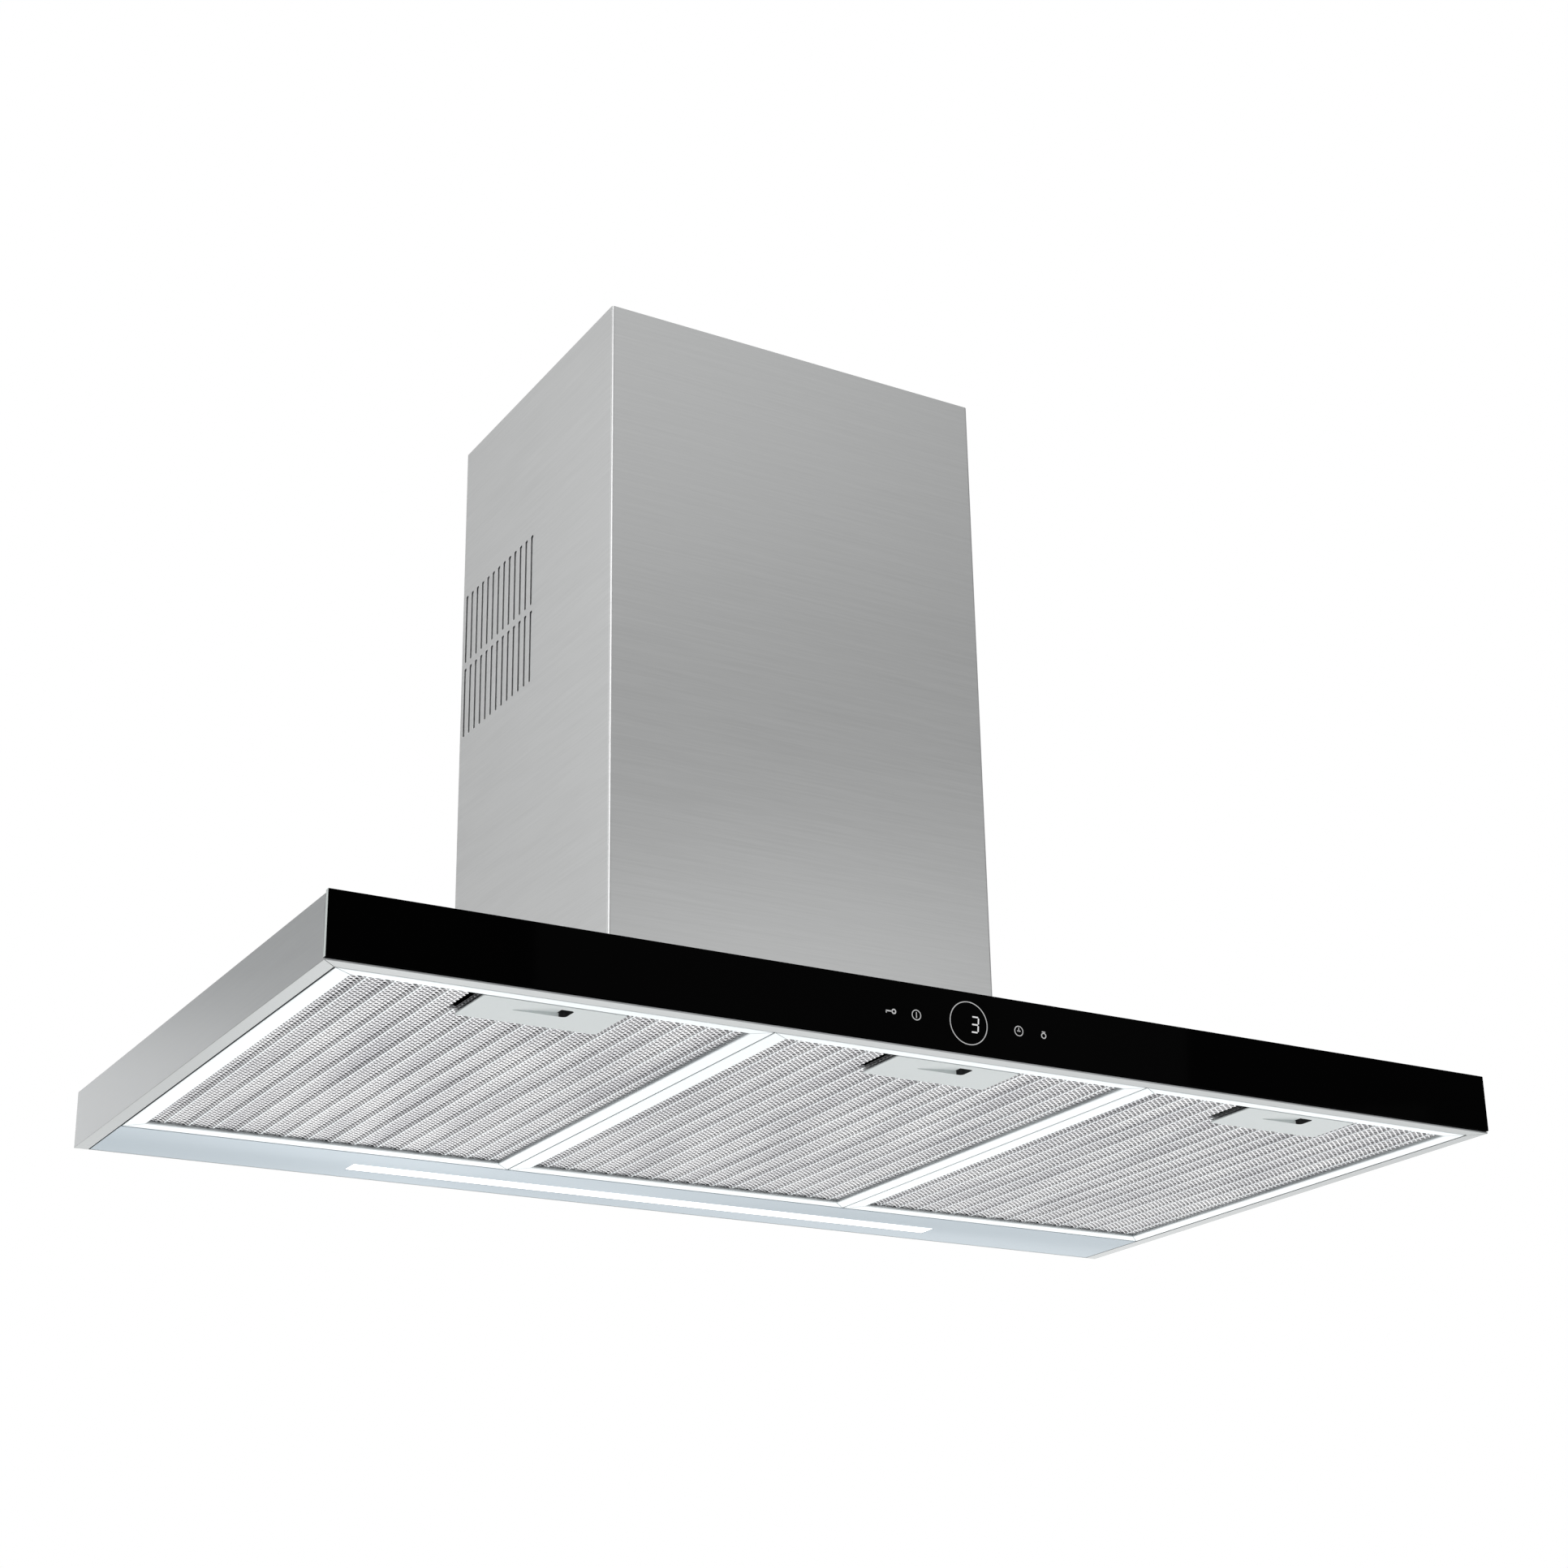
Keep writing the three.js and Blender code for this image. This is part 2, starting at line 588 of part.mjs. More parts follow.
// The curved wall of the scroll, from the outlet round the wheel to the cut-off.
function scrollWrap() {
  const outletInner = OUTLET_INNER - SHAFT_Y;
  const outer = [[SCROLL_WIDE, SCROLL_TOP], ...scrollPath(0, SCROLL_SWEEP), [outletInner, SCROLL_TOP]];
  const backTurn = THREE.MathUtils.degToRad(5);
  const inner = [
    [SCROLL_WIDE - SCROLL_WALL, SCROLL_TOP], ...scrollPath(SCROLL_WALL, SCROLL_SWEEP + backTurn),
    [outletInner + 1.6 * SCROLL_WALL, SCROLL_TOP],
  ];
  return slab([...outer, ...inner.reverse()], -SCROLL_HALF, SCROLL_HALF);
}

function scrollCheek(sign) {
  const outline = [
    [SCROLL_WIDE, SCROLL_TOP], ...scrollPath(0, SCROLL_SWEEP),
    [OUTLET_INNER - SHAFT_Y, SCROLL_TOP],
  ];
  const near = SCROLL_HALF + GAP;
  const ends = [sign * near, sign * (near + SCROLL_WALL)].sort((a, b) => a - b);
  return slab(outline, ...ends).subtract(bar("x", INLET_RADIUS + 2, ends[0] - 1, ends[1] + 1));
}

// A bell mouth that leads the air into the wheel.
function inletRing(sign) {
  const face = sign * (SCROLL_HALF + GAP + SCROLL_WALL + GAP);
  const profile = [
    [INLET_RADIUS, face - sign * 6], [INLET_RADIUS, face + sign * 1.2],
    [INLET_RADIUS + 12, face + sign * 1.2], [INLET_RADIUS + 12, face],
    [INLET_RADIUS + 1.4, face], [INLET_RADIUS + 1.4, face - sign * 6],
  ];
  return ring("x", sign > 0 ? profile.reverse() : profile);
}

// A double-inlet wheel: one disc in the middle, a ring at each end and straight blades.
function impeller() {
  const disc = bar("x", WHEEL_RADIUS, 0, 2, [0, 0, 0], 40);
  const hub = bar("x", 12, 0, 20);
  const leftRing = tube("x", WHEEL_RADIUS - 9, WHEEL_RADIUS, -WHEEL_HALF, -WHEEL_HALF + 3, 40);
  const rightRing = tube("x", WHEEL_RADIUS - 9, WHEEL_RADIUS, WHEEL_HALF - 3, WHEEL_HALF, 40);
  let wheel = disc.add(hub).add(leftRing).add(rightRing);
  for (let i = 0; i < BLADES; i += 1) {
    const blade = new THREE.BoxGeometry(2 * WHEEL_HALF - 2, BLADE_DEPTH, 1.2);
    blade.rotateX(THREE.MathUtils.degToRad(28));
    blade.translate(0, WHEEL_RADIUS - BLADE_DEPTH / 2 - 0.5, 0);
    blade.rotateX((i / BLADES) * 2 * Math.PI);
    wheel = wheel.add(solid(blade));
  }
  return wheel.subtract(bar("x", SHAFT_RADIUS + GAP, -1, 21));
}

function motor() {
  const body = bar("x", MOTOR_RADIUS, -58, -4, [0, 0, 0], 32);
  const rearBell = bar("x", MOTOR_RADIUS - 8, -66, -57, [0, 0, 0], 32);
  const neck = bar("x", 14, -77.6, -65);
  return body.add(rearBell).add(neck);
}

// Three arms that hold the motor in the left inlet.
function motorBracket() {
  let bracket = bar("x", 24, -80, -78);
  for (let i = 0; i < 3; i += 1) {
    const arm = new THREE.BoxGeometry(2, 84, 14);
    arm.translate(-79, 42, 0);
    arm.rotateX(Math.PI / 2 + (i / 3) * 2 * Math.PI);
    const foot = new THREE.BoxGeometry(3.4, 8, 14);
    foot.translate(-78.1, 80, 0);
    foot.rotateX(Math.PI / 2 + (i / 3) * 2 * Math.PI);
    bracket = bracket.add(solid(arm)).add(solid(foot));
  }
  return bracket;
}

function blower() {
  const group = new THREE.Group();
  group.position.set(0, SHAFT_Y, SHAFT_Z);
  part(group, "scroll_wrap", scrollWrap(), galvanised());
  part(group, "scroll_cheek_left", scrollCheek(-1), galvanised());
  part(group, "scroll_cheek_right", scrollCheek(1), galvanised());
  part(group, "inlet_ring_left", inletRing(-1), blackPlastic());
  part(group, "inlet_ring_right", inletRing(1), blackPlastic());
  part(group, "impeller", impeller(), blackPlastic());
  part(group, "motor_shaft", bar("x", SHAFT_RADIUS, -3.7, 24), springSteel());
  part(group, "motor", motor(), paintedSteel());
  part(group, "motor_bracket", motorBracket(), galvanised());
  const capacitor = part(group, "capacitor", bar("z", 15, 0, 60), whitePlastic());
  capacitor.position.set(122, 117, 20);
  return group;
}

// ---------------------------------------------------------------- outlet

// Drawn about the centre of the duct outlet, in X and Y.
function outlet() {
  const group = new THREE.Group();
  group.position.set(0, COLLAR_Y, 0);
  const bottom = CASE_TOP + GAP;
  const inner = COLLAR_RADIUS - COLLAR_WALL;
  const collar = ring("z", [
    [COLLAR_RADIUS + 13, bottom], [COLLAR_RADIUS + 13, bottom + 2], [COLLAR_RADIUS, bottom + 2],
    [COLLAR_RADIUS, bottom + COLLAR_HEIGHT], [inner, bottom + COLLAR_HEIGHT], [inner, bottom],
  ], 40);
  part(group, "outlet_collar", collar, blackPlastic());
  part(group, "damper_rod", bar("x", 2, -inner + 0.4, inner - 0.4, [0, 0, DAMPER_Z], 16),
    springSteel());
  for (const [name, sign] of [["front", -1], ["rear", 1]]) {
    const disc = bar("z", DAMPER_RADIUS, DAMPER_Z - 0.75, DAMPER_Z + 0.75, [0, 0, 0], 40);
    const near = sign * 4;
    const far = sign * (DAMPER_RADIUS + 1);
    const side = block(
      [-DAMPER_RADIUS - 1, Math.min(near, far), DAMPER_Z - 2],
      [DAMPER_RADIUS + 1, Math.max(near, far), DAMPER_Z + 2]);
    part(group, `damper_flap_${name}`, disc.intersect(side), blackPlastic());
  }
  return group;
}

// ---------------------------------------------------------------- electrics

// Drawn about the near left corner of the power box, on top of the blower casing.
function electrics() {
  const group = new THREE.Group();
  group.position.set(-148, -10, CASE_TOP + GAP);
  const [width, depth, height] = [52, 120, 32];
  const glandAt = [width / 2, 0, 18];
  let tray = block([0, 0, 0], [width, depth, height])
    .subtract(block([2, 2, 2], [width - 2, depth - 2, height + 1]))
    .subtract(bar("y", 6.3, -1, 3, glandAt, 20));
  for (const x of [8, width - 8]) {
    for (const y of [12, depth - 12]) {
      tray = tray.add(bar("z", 3, 1, 6, [x, y, 0], 12));
    }
  }
  const gland = ring("y", [
    [9, -8], [9, -GAP], [6, -GAP], [6, 5], [3.6, 5], [3.6, -8],
  ], 24).translate(glandAt[0], glandAt[1], glandAt[2]);
  part(group, "power_box", tray, whitePlastic());
  part(group, "power_box_lid", block([0, 0, height + GAP], [width, depth, height + 2.3]),
    whitePlastic());
  part(group, "power_board", block([3, 6, 6.3], [width - 3, depth - 6, 7.9]), circuitBoard());
  part(group, "cable_gland", gland, blackPlastic());
  return group;
}

// ---------------------------------------------------------------- the hood

const hood = new THREE.Group();
hood.add(canopy(), lighting(), controls());
for (let number = 1; number <= FILTERS; number += 1) {
  hood.add(filter(number));
}
hood.add(chimney(), casing(), blower(), outlet(), electrics());

export default hood;
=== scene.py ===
"""Looks for the wall-mounted range hood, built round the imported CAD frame.

Metres, in the frame of the CAD: +X to the right as one faces the glass, +Y to the wall, +Z up.
"""

import math
import random

import bpy
from mathutils import Matrix, Vector


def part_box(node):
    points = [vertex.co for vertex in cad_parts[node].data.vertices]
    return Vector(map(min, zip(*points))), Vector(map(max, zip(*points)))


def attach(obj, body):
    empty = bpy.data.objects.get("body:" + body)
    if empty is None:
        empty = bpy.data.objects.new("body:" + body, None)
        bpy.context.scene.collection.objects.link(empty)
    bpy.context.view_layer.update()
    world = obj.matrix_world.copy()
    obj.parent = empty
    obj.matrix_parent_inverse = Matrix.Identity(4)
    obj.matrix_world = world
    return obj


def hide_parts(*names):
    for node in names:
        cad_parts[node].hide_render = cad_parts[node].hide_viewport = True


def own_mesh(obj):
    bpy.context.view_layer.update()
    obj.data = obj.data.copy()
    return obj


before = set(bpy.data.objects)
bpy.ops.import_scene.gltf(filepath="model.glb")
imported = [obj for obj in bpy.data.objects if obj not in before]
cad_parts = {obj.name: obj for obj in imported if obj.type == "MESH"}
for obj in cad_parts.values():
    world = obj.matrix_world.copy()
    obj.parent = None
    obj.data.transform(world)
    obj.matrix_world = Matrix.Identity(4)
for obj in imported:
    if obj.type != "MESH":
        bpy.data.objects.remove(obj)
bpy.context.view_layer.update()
MM = 0.001


# ---------------------------------------------------------------- materials

def linear(srgb):
    """An sRGB hex colour as linear RGBA."""
    channels = []
    for i in (0, 2, 4):
        c = int(srgb[i:i + 2], 16) / 255
        channels.append(c / 12.92 if c <= 0.04045 else ((c + 0.055) / 1.055) ** 2.4)
    return (*channels, 1.0)


def add(tree, kind, inputs=None, **settings):
    """Adds a node with its settings, and gives each input a value or a link."""
    made = tree.nodes.new(kind)
    for name, value in settings.items():
        setattr(made, name, value)
    for name, value in (inputs or {}).items():
        if isinstance(value, bpy.types.NodeSocket):
            tree.links.new(value, made.inputs[name])
        else:
            made.inputs[name].default_value = value
    return made


def start(name, **principled):
    """A material with one Principled shader. Returns the material, its tree and the shader."""
    material = bpy.data.materials.new(name)
    material.use_nodes = True
    tree = material.node_tree
    shader = tree.nodes["Principled BSDF"]
    for key, value in principled.items():
        socket = shader.inputs[key.replace("_", " ")]
        socket.default_value = linear(value) if isinstance(value, str) else value
    return material, tree, shader


def place(tree, scale=(1, 1, 1), turn=(0, 0, 0)):
    """Object coordinates, scaled to waves per metre."""
    here = add(tree, "ShaderNodeTexCoord")
    return add(tree, "ShaderNodeMapping",
               {"Vector": here.outputs["Object"], "Scale": scale, "Rotation": turn}).outputs[0]


def vary(tree, shader, factor, low, high, rough=None, bump=None):
    """Lets a pattern move the colour between two hex values, the roughness and the surface."""
    mixed = add(tree, "ShaderNodeMix",
                {"Factor": factor, "A": linear(low), "B": linear(high)}, data_type="RGBA")
    tree.links.new(mixed.outputs["Result"], shader.inputs["Base Color"])
    if rough:
        spread = add(tree, "ShaderNodeMapRange",
                     {"Value": factor, "To Min": rough[0], "To Max": rough[1]})
        tree.links.new(spread.outputs[0], shader.inputs["Roughness"])
    if bump:
        raised = add(tree, "ShaderNodeBump",
                     {"Height": factor, "Strength": bump[0], "Distance": bump[1] * MM})
        tree.links.new(raised.outputs[0], shader.inputs["Normal"])


def brushed(name, low, high, along_front, along_side, rough, anisotropic=0.6):
    """Brushed sheet. The grain follows one direction on faces that look to the front, up or
    down, and another on faces that look to the side."""
    material, tree, shader = start(
        name, Metallic=1.0, Roughness=rough[0], Anisotropic=anisotropic)
    front = add(tree, "ShaderNodeTexNoise", {
        "Vector": place(tree, along_front), "Scale": 1.0, "Detail": 3.0, "Roughness": 0.6})
    side = add(tree, "ShaderNodeTexNoise", {
        "Vector": place(tree, along_side), "Scale": 1.0, "Detail": 3.0, "Roughness": 0.6})
    looks = add(tree, "ShaderNodeNewGeometry").outputs["True Normal"]
    across = add(tree, "ShaderNodeSeparateXYZ", {"Vector": looks}).outputs["X"]
    size = add(tree, "ShaderNodeMath", {0: across}, operation="ABSOLUTE").outputs[0]
    is_side = add(tree, "ShaderNodeMath", {0: size, 1: 0.7}, operation="GREATER_THAN")
    grain = add(tree, "ShaderNodeMix", {
        "Factor": is_side.outputs[0], "A": front.outputs["Fac"], "B": side.outputs["Fac"]})
    vary(tree, shader, grain.outputs["Result"], low, high, rough, (0.05, 0.05))
    return material


# A brushing line is about 0.2 mm wide and some centimetres long. It is drawn 1.5 mm wide and
# 70 mm long, so that it shows.
ALONG = 14
ACROSS = 650
LEVEL_GRAIN = (ALONG, ALONG, ACROSS)
GRAIN_TO_THE_SIDE = (ALONG, ACROSS, ACROSS)
GRAIN_TO_THE_REAR = (ACROSS, ALONG, ACROSS)
# Stainless sheet brushed lengthwise: a soft sheen with level streaks.
chimney_steel = brushed("brushed_stainless_steel", "b4b5b5", "c4c5c5",
                        LEVEL_GRAIN, LEVEL_GRAIN, (0.30, 0.38))
# The canopy takes the chimney's brushed steel made darker: painted shade on its top and sides.
canopy_steel = brushed("brushed_stainless_steel_canopy_painted_shade", "8e9091", "9c9e9f",
                       GRAIN_TO_THE_SIDE, GRAIN_TO_THE_REAR, (0.30, 0.38))
# The same brushed steel made paler for the flange's underside: painted light on the faces that
# look down. Its grain is softer.
flange_steel_painted_light = brushed("brushed_stainless_steel_flange_painted_light", "9da0a0", "abaeae",
                       GRAIN_TO_THE_SIDE, GRAIN_TO_THE_REAR, (0.34, 0.40), 0.3)
panel_steel = brushed("satin_stainless_steel", "95a1a9", "a2adb4",
                      GRAIN_TO_THE_SIDE, GRAIN_TO_THE_REAR, (0.36, 0.42), 0.3)


def speckled(name, low, high, scale, rough, bump=None, **principled):
    """A finish with a fine even mottle, scale in grains per metre."""
    material, tree, shader = start(name, **principled)
    noise = add(tree, "ShaderNodeTexNoise",
                {"Vector": place(tree), "Scale": scale, "Detail": 2.0})
    vary(tree, shader, noise.outputs["Fac"], low, high, rough, bump)
    return material


# Etched and anodised: pale, even and silky, with a grain of about 1 mm.
frame_aluminium = speckled("anodised_aluminium", "d3d9db", "dfe4e5", 900, (0.34, 0.42),
                           (0.04, 0.05), Metallic=1.0)


def expanded_foil():
    """Slit and stretched aluminium foil. Rolling leaves the strands bright, and patches about
    20 mm wide and 140 mm long differ a little in grey."""
    material, tree, shader = start("expanded_aluminium", Metallic=1.0, Roughness=0.38)
    strands = add(tree, "ShaderNodeTexNoise", {"Vector": place(tree), "Scale": 420.0})
    bands = add(tree, "ShaderNodeTexNoise", {
        "Vector": place(tree, (45, 7, 7)), "Scale": 1.0, "Detail": 1.0})
    blend = add(tree, "ShaderNodeMix", {
        "Factor": 0.55, "A": strands.outputs["Fac"], "B": bands.outputs["Fac"]})
    sharp = add(tree, "ShaderNodeMapRange", {
        "Value": blend.outputs["Result"], "From Min": 0.32, "From Max": 0.68})
    vary(tree, shader, sharp.outputs[0], "b0b0b4", "fafafa", (0.30, 0.46), (0.5, 0.3))
    return material


mesh_aluminium = expanded_foil()
# The same foil deeper in: greyer, because its own layers shade it.
pack_aluminium = speckled("aluminium_mesh_pack", "84848a", "bcbcbc", 420, (0.4, 0.6),
                          (0.6, 0.4), Metallic=1.0)
# A near-black copy of the pack's aluminium for the faces beside each ridge: painted shade between
# the layers.
painted_shade_aluminium = speckled("aluminium_mesh_pack_painted_shade", "242426", "565658", 420,
                            (0.5, 0.6), (0.6, 0.4), Metallic=1.0)
# Moulded ABS: eroded mould surface with a grain of about 0.5 mm.
latch_plastic = speckled("moulded_abs_light_grey", "cad1d1", "d3d9d9", 1800, (0.42, 0.5),
                         (0.05, 0.03), IOR=1.54)
black_plastic = speckled("moulded_abs_black", "161617", "1e1e20", 1500, (0.45, 0.6),
                         (0.12, 0.04), IOR=1.54)
white_plastic = speckled("moulded_abs_white", "dcdcd6", "e6e6e0", 1500, (0.4, 0.5),
                         (0.08, 0.04), IOR=1.54)
# Glass fibres near the skin make it duller than plain ABS.
impeller_plastic = speckled("glass_filled_polyamide_black", "1c1c1e", "2a2a2c", 1100,
                            (0.5, 0.65), (0.2, 0.04), IOR=1.53)
# Zinc plating and drawn wire: bright, with a fine mottle.
zinc_screw = speckled("zinc_plated_steel", "b9bcc0", "cfd2d6", 700, (0.25, 0.35), Metallic=1.0)
spring_steel = speckled("drawn_spring_steel", "8b8d90", "a4a6a8", 600, (0.22, 0.32),
                        Metallic=1.0)
# Enamel on the motor, solder resist on the boards, mill finish on the lamp's extrusion.
motor_steel = speckled("black_enamelled_steel", "232426", "2f3033", 800, (0.35, 0.45),
                       (0.1, 0.05), IOR=1.5)
circuit_board = speckled("green_glass_epoxy", "15492c", "1f6a3e", 500, (0.35, 0.45),
                         IOR=1.55)
lamp_aluminium = speckled("extruded_aluminium", "d2d4d6", "e2e4e6", 500, (0.3, 0.4),
                          Metallic=1.0)


def galvanised_sheet():
    """Hot-dip galvanised steel: zinc crystals 6 to 12 mm across, each with its own grey."""
    material, tree, shader = start("galvanised_steel", Metallic=1.0, Roughness=0.45)
    crystals = add(tree, "ShaderNodeTexVoronoi", {"Vector": place(tree), "Scale": 110.0})
    grey = add(tree, "ShaderNodeSeparateColor", {"Color": crystals.outputs["Color"]})
    vary(tree, shader, grey.outputs["Red"], "9a9ea2", "b6babd", (0.36, 0.52))
    return material


galvanised_steel = galvanised_sheet()


def black_glass_sheet():
    """Toughened glass 4 mm thick, printed black behind: deep black. The room in front of it is
    dark, so it mirrors next to nothing."""
    material, tree, shader = start("toughened_black_glass", IOR=1.52, Roughness=0.04)
    shader.inputs["Specular IOR Level"].default_value = 0.01
    cloud = add(tree, "ShaderNodeTexNoise", {"Vector": place(tree), "Scale": 6.0})
    vary(tree, shader, cloud.outputs["Fac"], "000000", "020202", (0.03, 0.05))
    return material


black_glass = black_glass_sheet()


def opal_acrylic():
    """Opal acrylic lit from behind by a row of LEDs: even white light, faintly cloudy."""
    material, tree, shader = start("opal_acrylic_lit", IOR=1.49, Roughness=0.35)
    cloud = add(tree, "ShaderNodeTexNoise", {"Vector": place(tree), "Scale": 60.0})
    vary(tree, shader, cloud.outputs["Fac"], "f2f4f4", "fbfcfc")
    glow = add(tree, "ShaderNodeMix", {
        "Factor": cloud.outputs["Fac"], "A": linear("f4f8ff"), "B": linear("ffffff")},
        data_type="RGBA")
    tree.links.new(glow.outputs["Result"], shader.inputs["Emission Color"])
    shader.inputs["Emission Strength"].default_value = 1.1
    return material


diffuser_acrylic = opal_acrylic()

# Each of the record's slots: its material, and what the names of its nodes start with.
SLOTS = {
    "canopy_steel": (canopy_steel, "canopy_shell"),
    "chimney_steel": (chimney_steel, "lower_chimney", "upper_chimney"),
    "light_panel_steel": (panel_steel, "rear_light_panel"),
    "black_glass": (black_glass, "front_glass"),
    "diffuser": (diffuser_acrylic, "light_diffuser"),
    "lamp_aluminium": (lamp_aluminium, "lamp_housing"),
    "circuit_board": (circuit_board, "led_board", "touch_board", "power_board"),
    "white_plastic": (white_plastic, "led_driver", "power_box", "power_box_lid", "capacitor"),
    "black_plastic": (black_plastic, "display_module", "control_cover", "inlet_ring",
                      "outlet_collar", "damper_flap", "cable_gland"),
    "impeller_plastic": (impeller_plastic, "impeller"),
    "galvanised_steel": (galvanised_steel, "chimney_wall_bracket", "blower_case",
                         "wall_hanging_strip", "scroll", "motor_bracket"),
    "zinc_screw": (zinc_screw, "bracket_screw", "wall_screw", "case_screw"),
    "spring_steel": (spring_steel, "motor_shaft", "damper_rod", "latch_spring"),
    "motor_steel": (motor_steel, "motor"),
    "frame_aluminium": (frame_aluminium, "filter_frame"),
    "mesh_aluminium": (mesh_aluminium, "filter_mesh"),
    "latch_plastic": (latch_plastic, "latch_plate", "latch_carrier"),
}


def slot_of(node_name):
    """The record's material slot for a node, by the longest stem that its name starts with."""
    starts = [(len(stem), slot) for slot, row in SLOTS.items() for stem in row[1:]
              if node_name.startswith(stem)]
    return max(starts)[1]


def finish(piece, slot):
    """Gives a piece the material of one of the record's slots."""
    piece.data.materials.clear()
    piece.data.materials.append(SLOTS[slot][0])


for node_name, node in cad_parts.items():
    finish(node, slot_of(node_name))


# ---------------------------------------------------------------- modelling by hand

def put_down():
    """Leaves edit mode and deselects everything."""
    if bpy.context.object and bpy.context.object.mode != "OBJECT":
        bpy.ops.object.mode_set(mode="OBJECT")
    bpy.ops.object.select_all(action="DESELECT")


def take(piece):
    put_down()
    piece.select_set(True)
    bpy.context.view_layer.objects.active = piece


def settle(piece):
    """Puts the piece's place, turn and size in its mesh."""
    take(piece)
    bpy.ops.object.transform_apply(location=True, rotation=True, scale=True)
    return piece


def block(name, low, high):
    """A block between two corners in millimetres."""
    put_down()
    middle = [(a + b) / 2 * MM for a, b in zip(low, high)]
    bpy.ops.mesh.primitive_cube_add(size=1, location=middle)
    piece = bpy.context.object
    piece.name = name
    piece.scale = [(b - a) * MM for a, b in zip(low, high)]
    return settle(piece)


LIE_ALONG = {"x": (0, math.pi / 2, 0), "y": (-math.pi / 2, 0, 0), "z": (0, 0, 0)}


def rod(name, axis, radius, begin, end, at=(0, 0, 0), sides=32):
    """A round bar along an axis between two places on it, through a point, in millimetres."""
    put_down()
    place_at = list(at)
    place_at["xyz".index(axis)] = (begin + end) / 2
    bpy.ops.mesh.primitive_cylinder_add(
        vertices=sides, radius=radius * MM, depth=(end - begin) * MM,
        location=[v * MM for v in place_at], rotation=LIE_ALONG[axis])
    piece = bpy.context.object
    piece.name = name
    return settle(piece)


def pick(piece, kind, test):
    """Opens the piece for editing with the vertices, edges or faces that pass the test
    selected. The test is given the middle, in millimetres, and the normal or direction."""
    take(piece)
    bpy.ops.object.mode_set(mode="EDIT")
    bpy.ops.mesh.select_mode(type=kind)
    bpy.ops.mesh.select_all(action="DESELECT")
    bpy.ops.object.mode_set(mode="OBJECT")
    mesh = piece.data
    if kind == "VERT":
        for v in mesh.vertices:
            v.select = bool(test(v.co / MM, v.normal))
    if kind == "EDGE":
        for e in mesh.edges:
            a, b = (mesh.vertices[i].co for i in e.vertices)
            e.select = bool(test((a + b) / 2 / MM, (b - a).normalized()))
    if kind == "FACE":
        for p in mesh.polygons:
            p.select = bool(test(p.center / MM, p.normal))
    bpy.ops.object.mode_set(mode="EDIT")


def pick_all(piece):
    take(piece)
    bpy.ops.object.mode_set(mode="EDIT")
    bpy.ops.mesh.select_all(action="SELECT")


def apply(piece, kind, **settings):
    """Adds a modifier and applies it."""
    take(piece)
    made = piece.modifiers.new(kind.lower(), kind)
    for name, value in settings.items():
        setattr(made, name, value)
    bpy.ops.object.modifier_apply(modifier=made.name)
    return piece


def repeat(piece, count, step):
    """Copies the piece in a row, each copy a step in millimetres after the last."""
    return apply(piece, "ARRAY", count=count, use_relative_offset=False,
                 use_constant_offset=True, constant_offset_displace=[v * MM for v in step])


def nudge(*by):
    """Moves what is picked, in millimetres, and puts the piece down."""
    bpy.ops.transform.translate(value=[v * MM for v in by])
    put_down()


def round_off(width, segments):
    """Rounds the picked edges, in millimetres, and puts the piece down."""
    bpy.ops.mesh.bevel(offset=width * MM, segments=segments)
    put_down()


def drop_picked():
    bpy.ops.mesh.delete(type="FACE")
    put_down()


def soften(piece, width, segments=2, angle=35):
    """Rounds the piece's sharp edges, in millimetres."""
    return apply(piece, "BEVEL", width=width * MM, segments=segments, limit_method="ANGLE",
                 angle_limit=math.radians(angle), harden_normals=False)


def cut(piece, cutter, operation="DIFFERENCE"):
    """Takes the cutter out of the piece, or joins it, and removes the cutter."""
    apply(piece, "BOOLEAN", object=cutter, operation=operation, solver="EXACT")
    bpy.data.objects.remove(cutter)
    return piece


def smooth(piece, angle=35):
    take(piece)
    bpy.ops.object.shade_smooth_by_angle(angle=math.radians(angle))
    return apply(piece, "WEIGHTED_NORMAL", keep_sharp=True, weight=100)


def outward(piece):
    """Welds the piece and turns its faces outwards."""
    pick_all(piece)
    bpy.ops.mesh.remove_doubles(threshold=0.00001)
    bpy.ops.mesh.normals_make_consistent(inside=False)
    put_down()
    return piece


def copy(piece, name, shift=(0, 0, 0)):
    """A copy with its own mesh, moved by a shift in millimetres."""
    other = piece.copy()
    other.data = piece.data.copy()
    other.name = name
    bpy.context.scene.collection.objects.link(other)
    pick_all(other)
    nudge(*shift)
    return other


def join(pieces, name):
    """Makes several pieces one."""
    put_down()
    for piece in pieces:
        piece.select_set(True)
    bpy.context.view_layer.objects.active = pieces[0]
    bpy.ops.object.join()
    pieces[0].name = name
    return pieces[0]


def hand_in(piece, slot, body, *nodes):
    """Gives a piece its finish and its body, and hides the CAD nodes that it stands for."""
    put_down()
    finish(piece, slot)
    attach(piece, body)
    if nodes:
        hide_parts(*nodes)
    return piece


def mm(node_name):
    """A CAD node's lowest and highest corner in millimetres."""
    return [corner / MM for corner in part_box(node_name)]


def mitre(piece, corner, inner, begin, over, half_width, depth):
    """Scores a mitre seam from a corner inwards, into the piece's lower face."""
    run = inner - corner
    seam = block("seam", (begin - run.length / 2, -half_width, -0.5),
                 (run.length / 2 + over, half_width, depth))
    seam.location = (corner + inner) / 2 * MM
    seam.rotation_euler = (0, 0, math.atan2(run.y, run.x))
    cut(piece, settle(seam))


# ---------------------------------------------------------------- grease filters

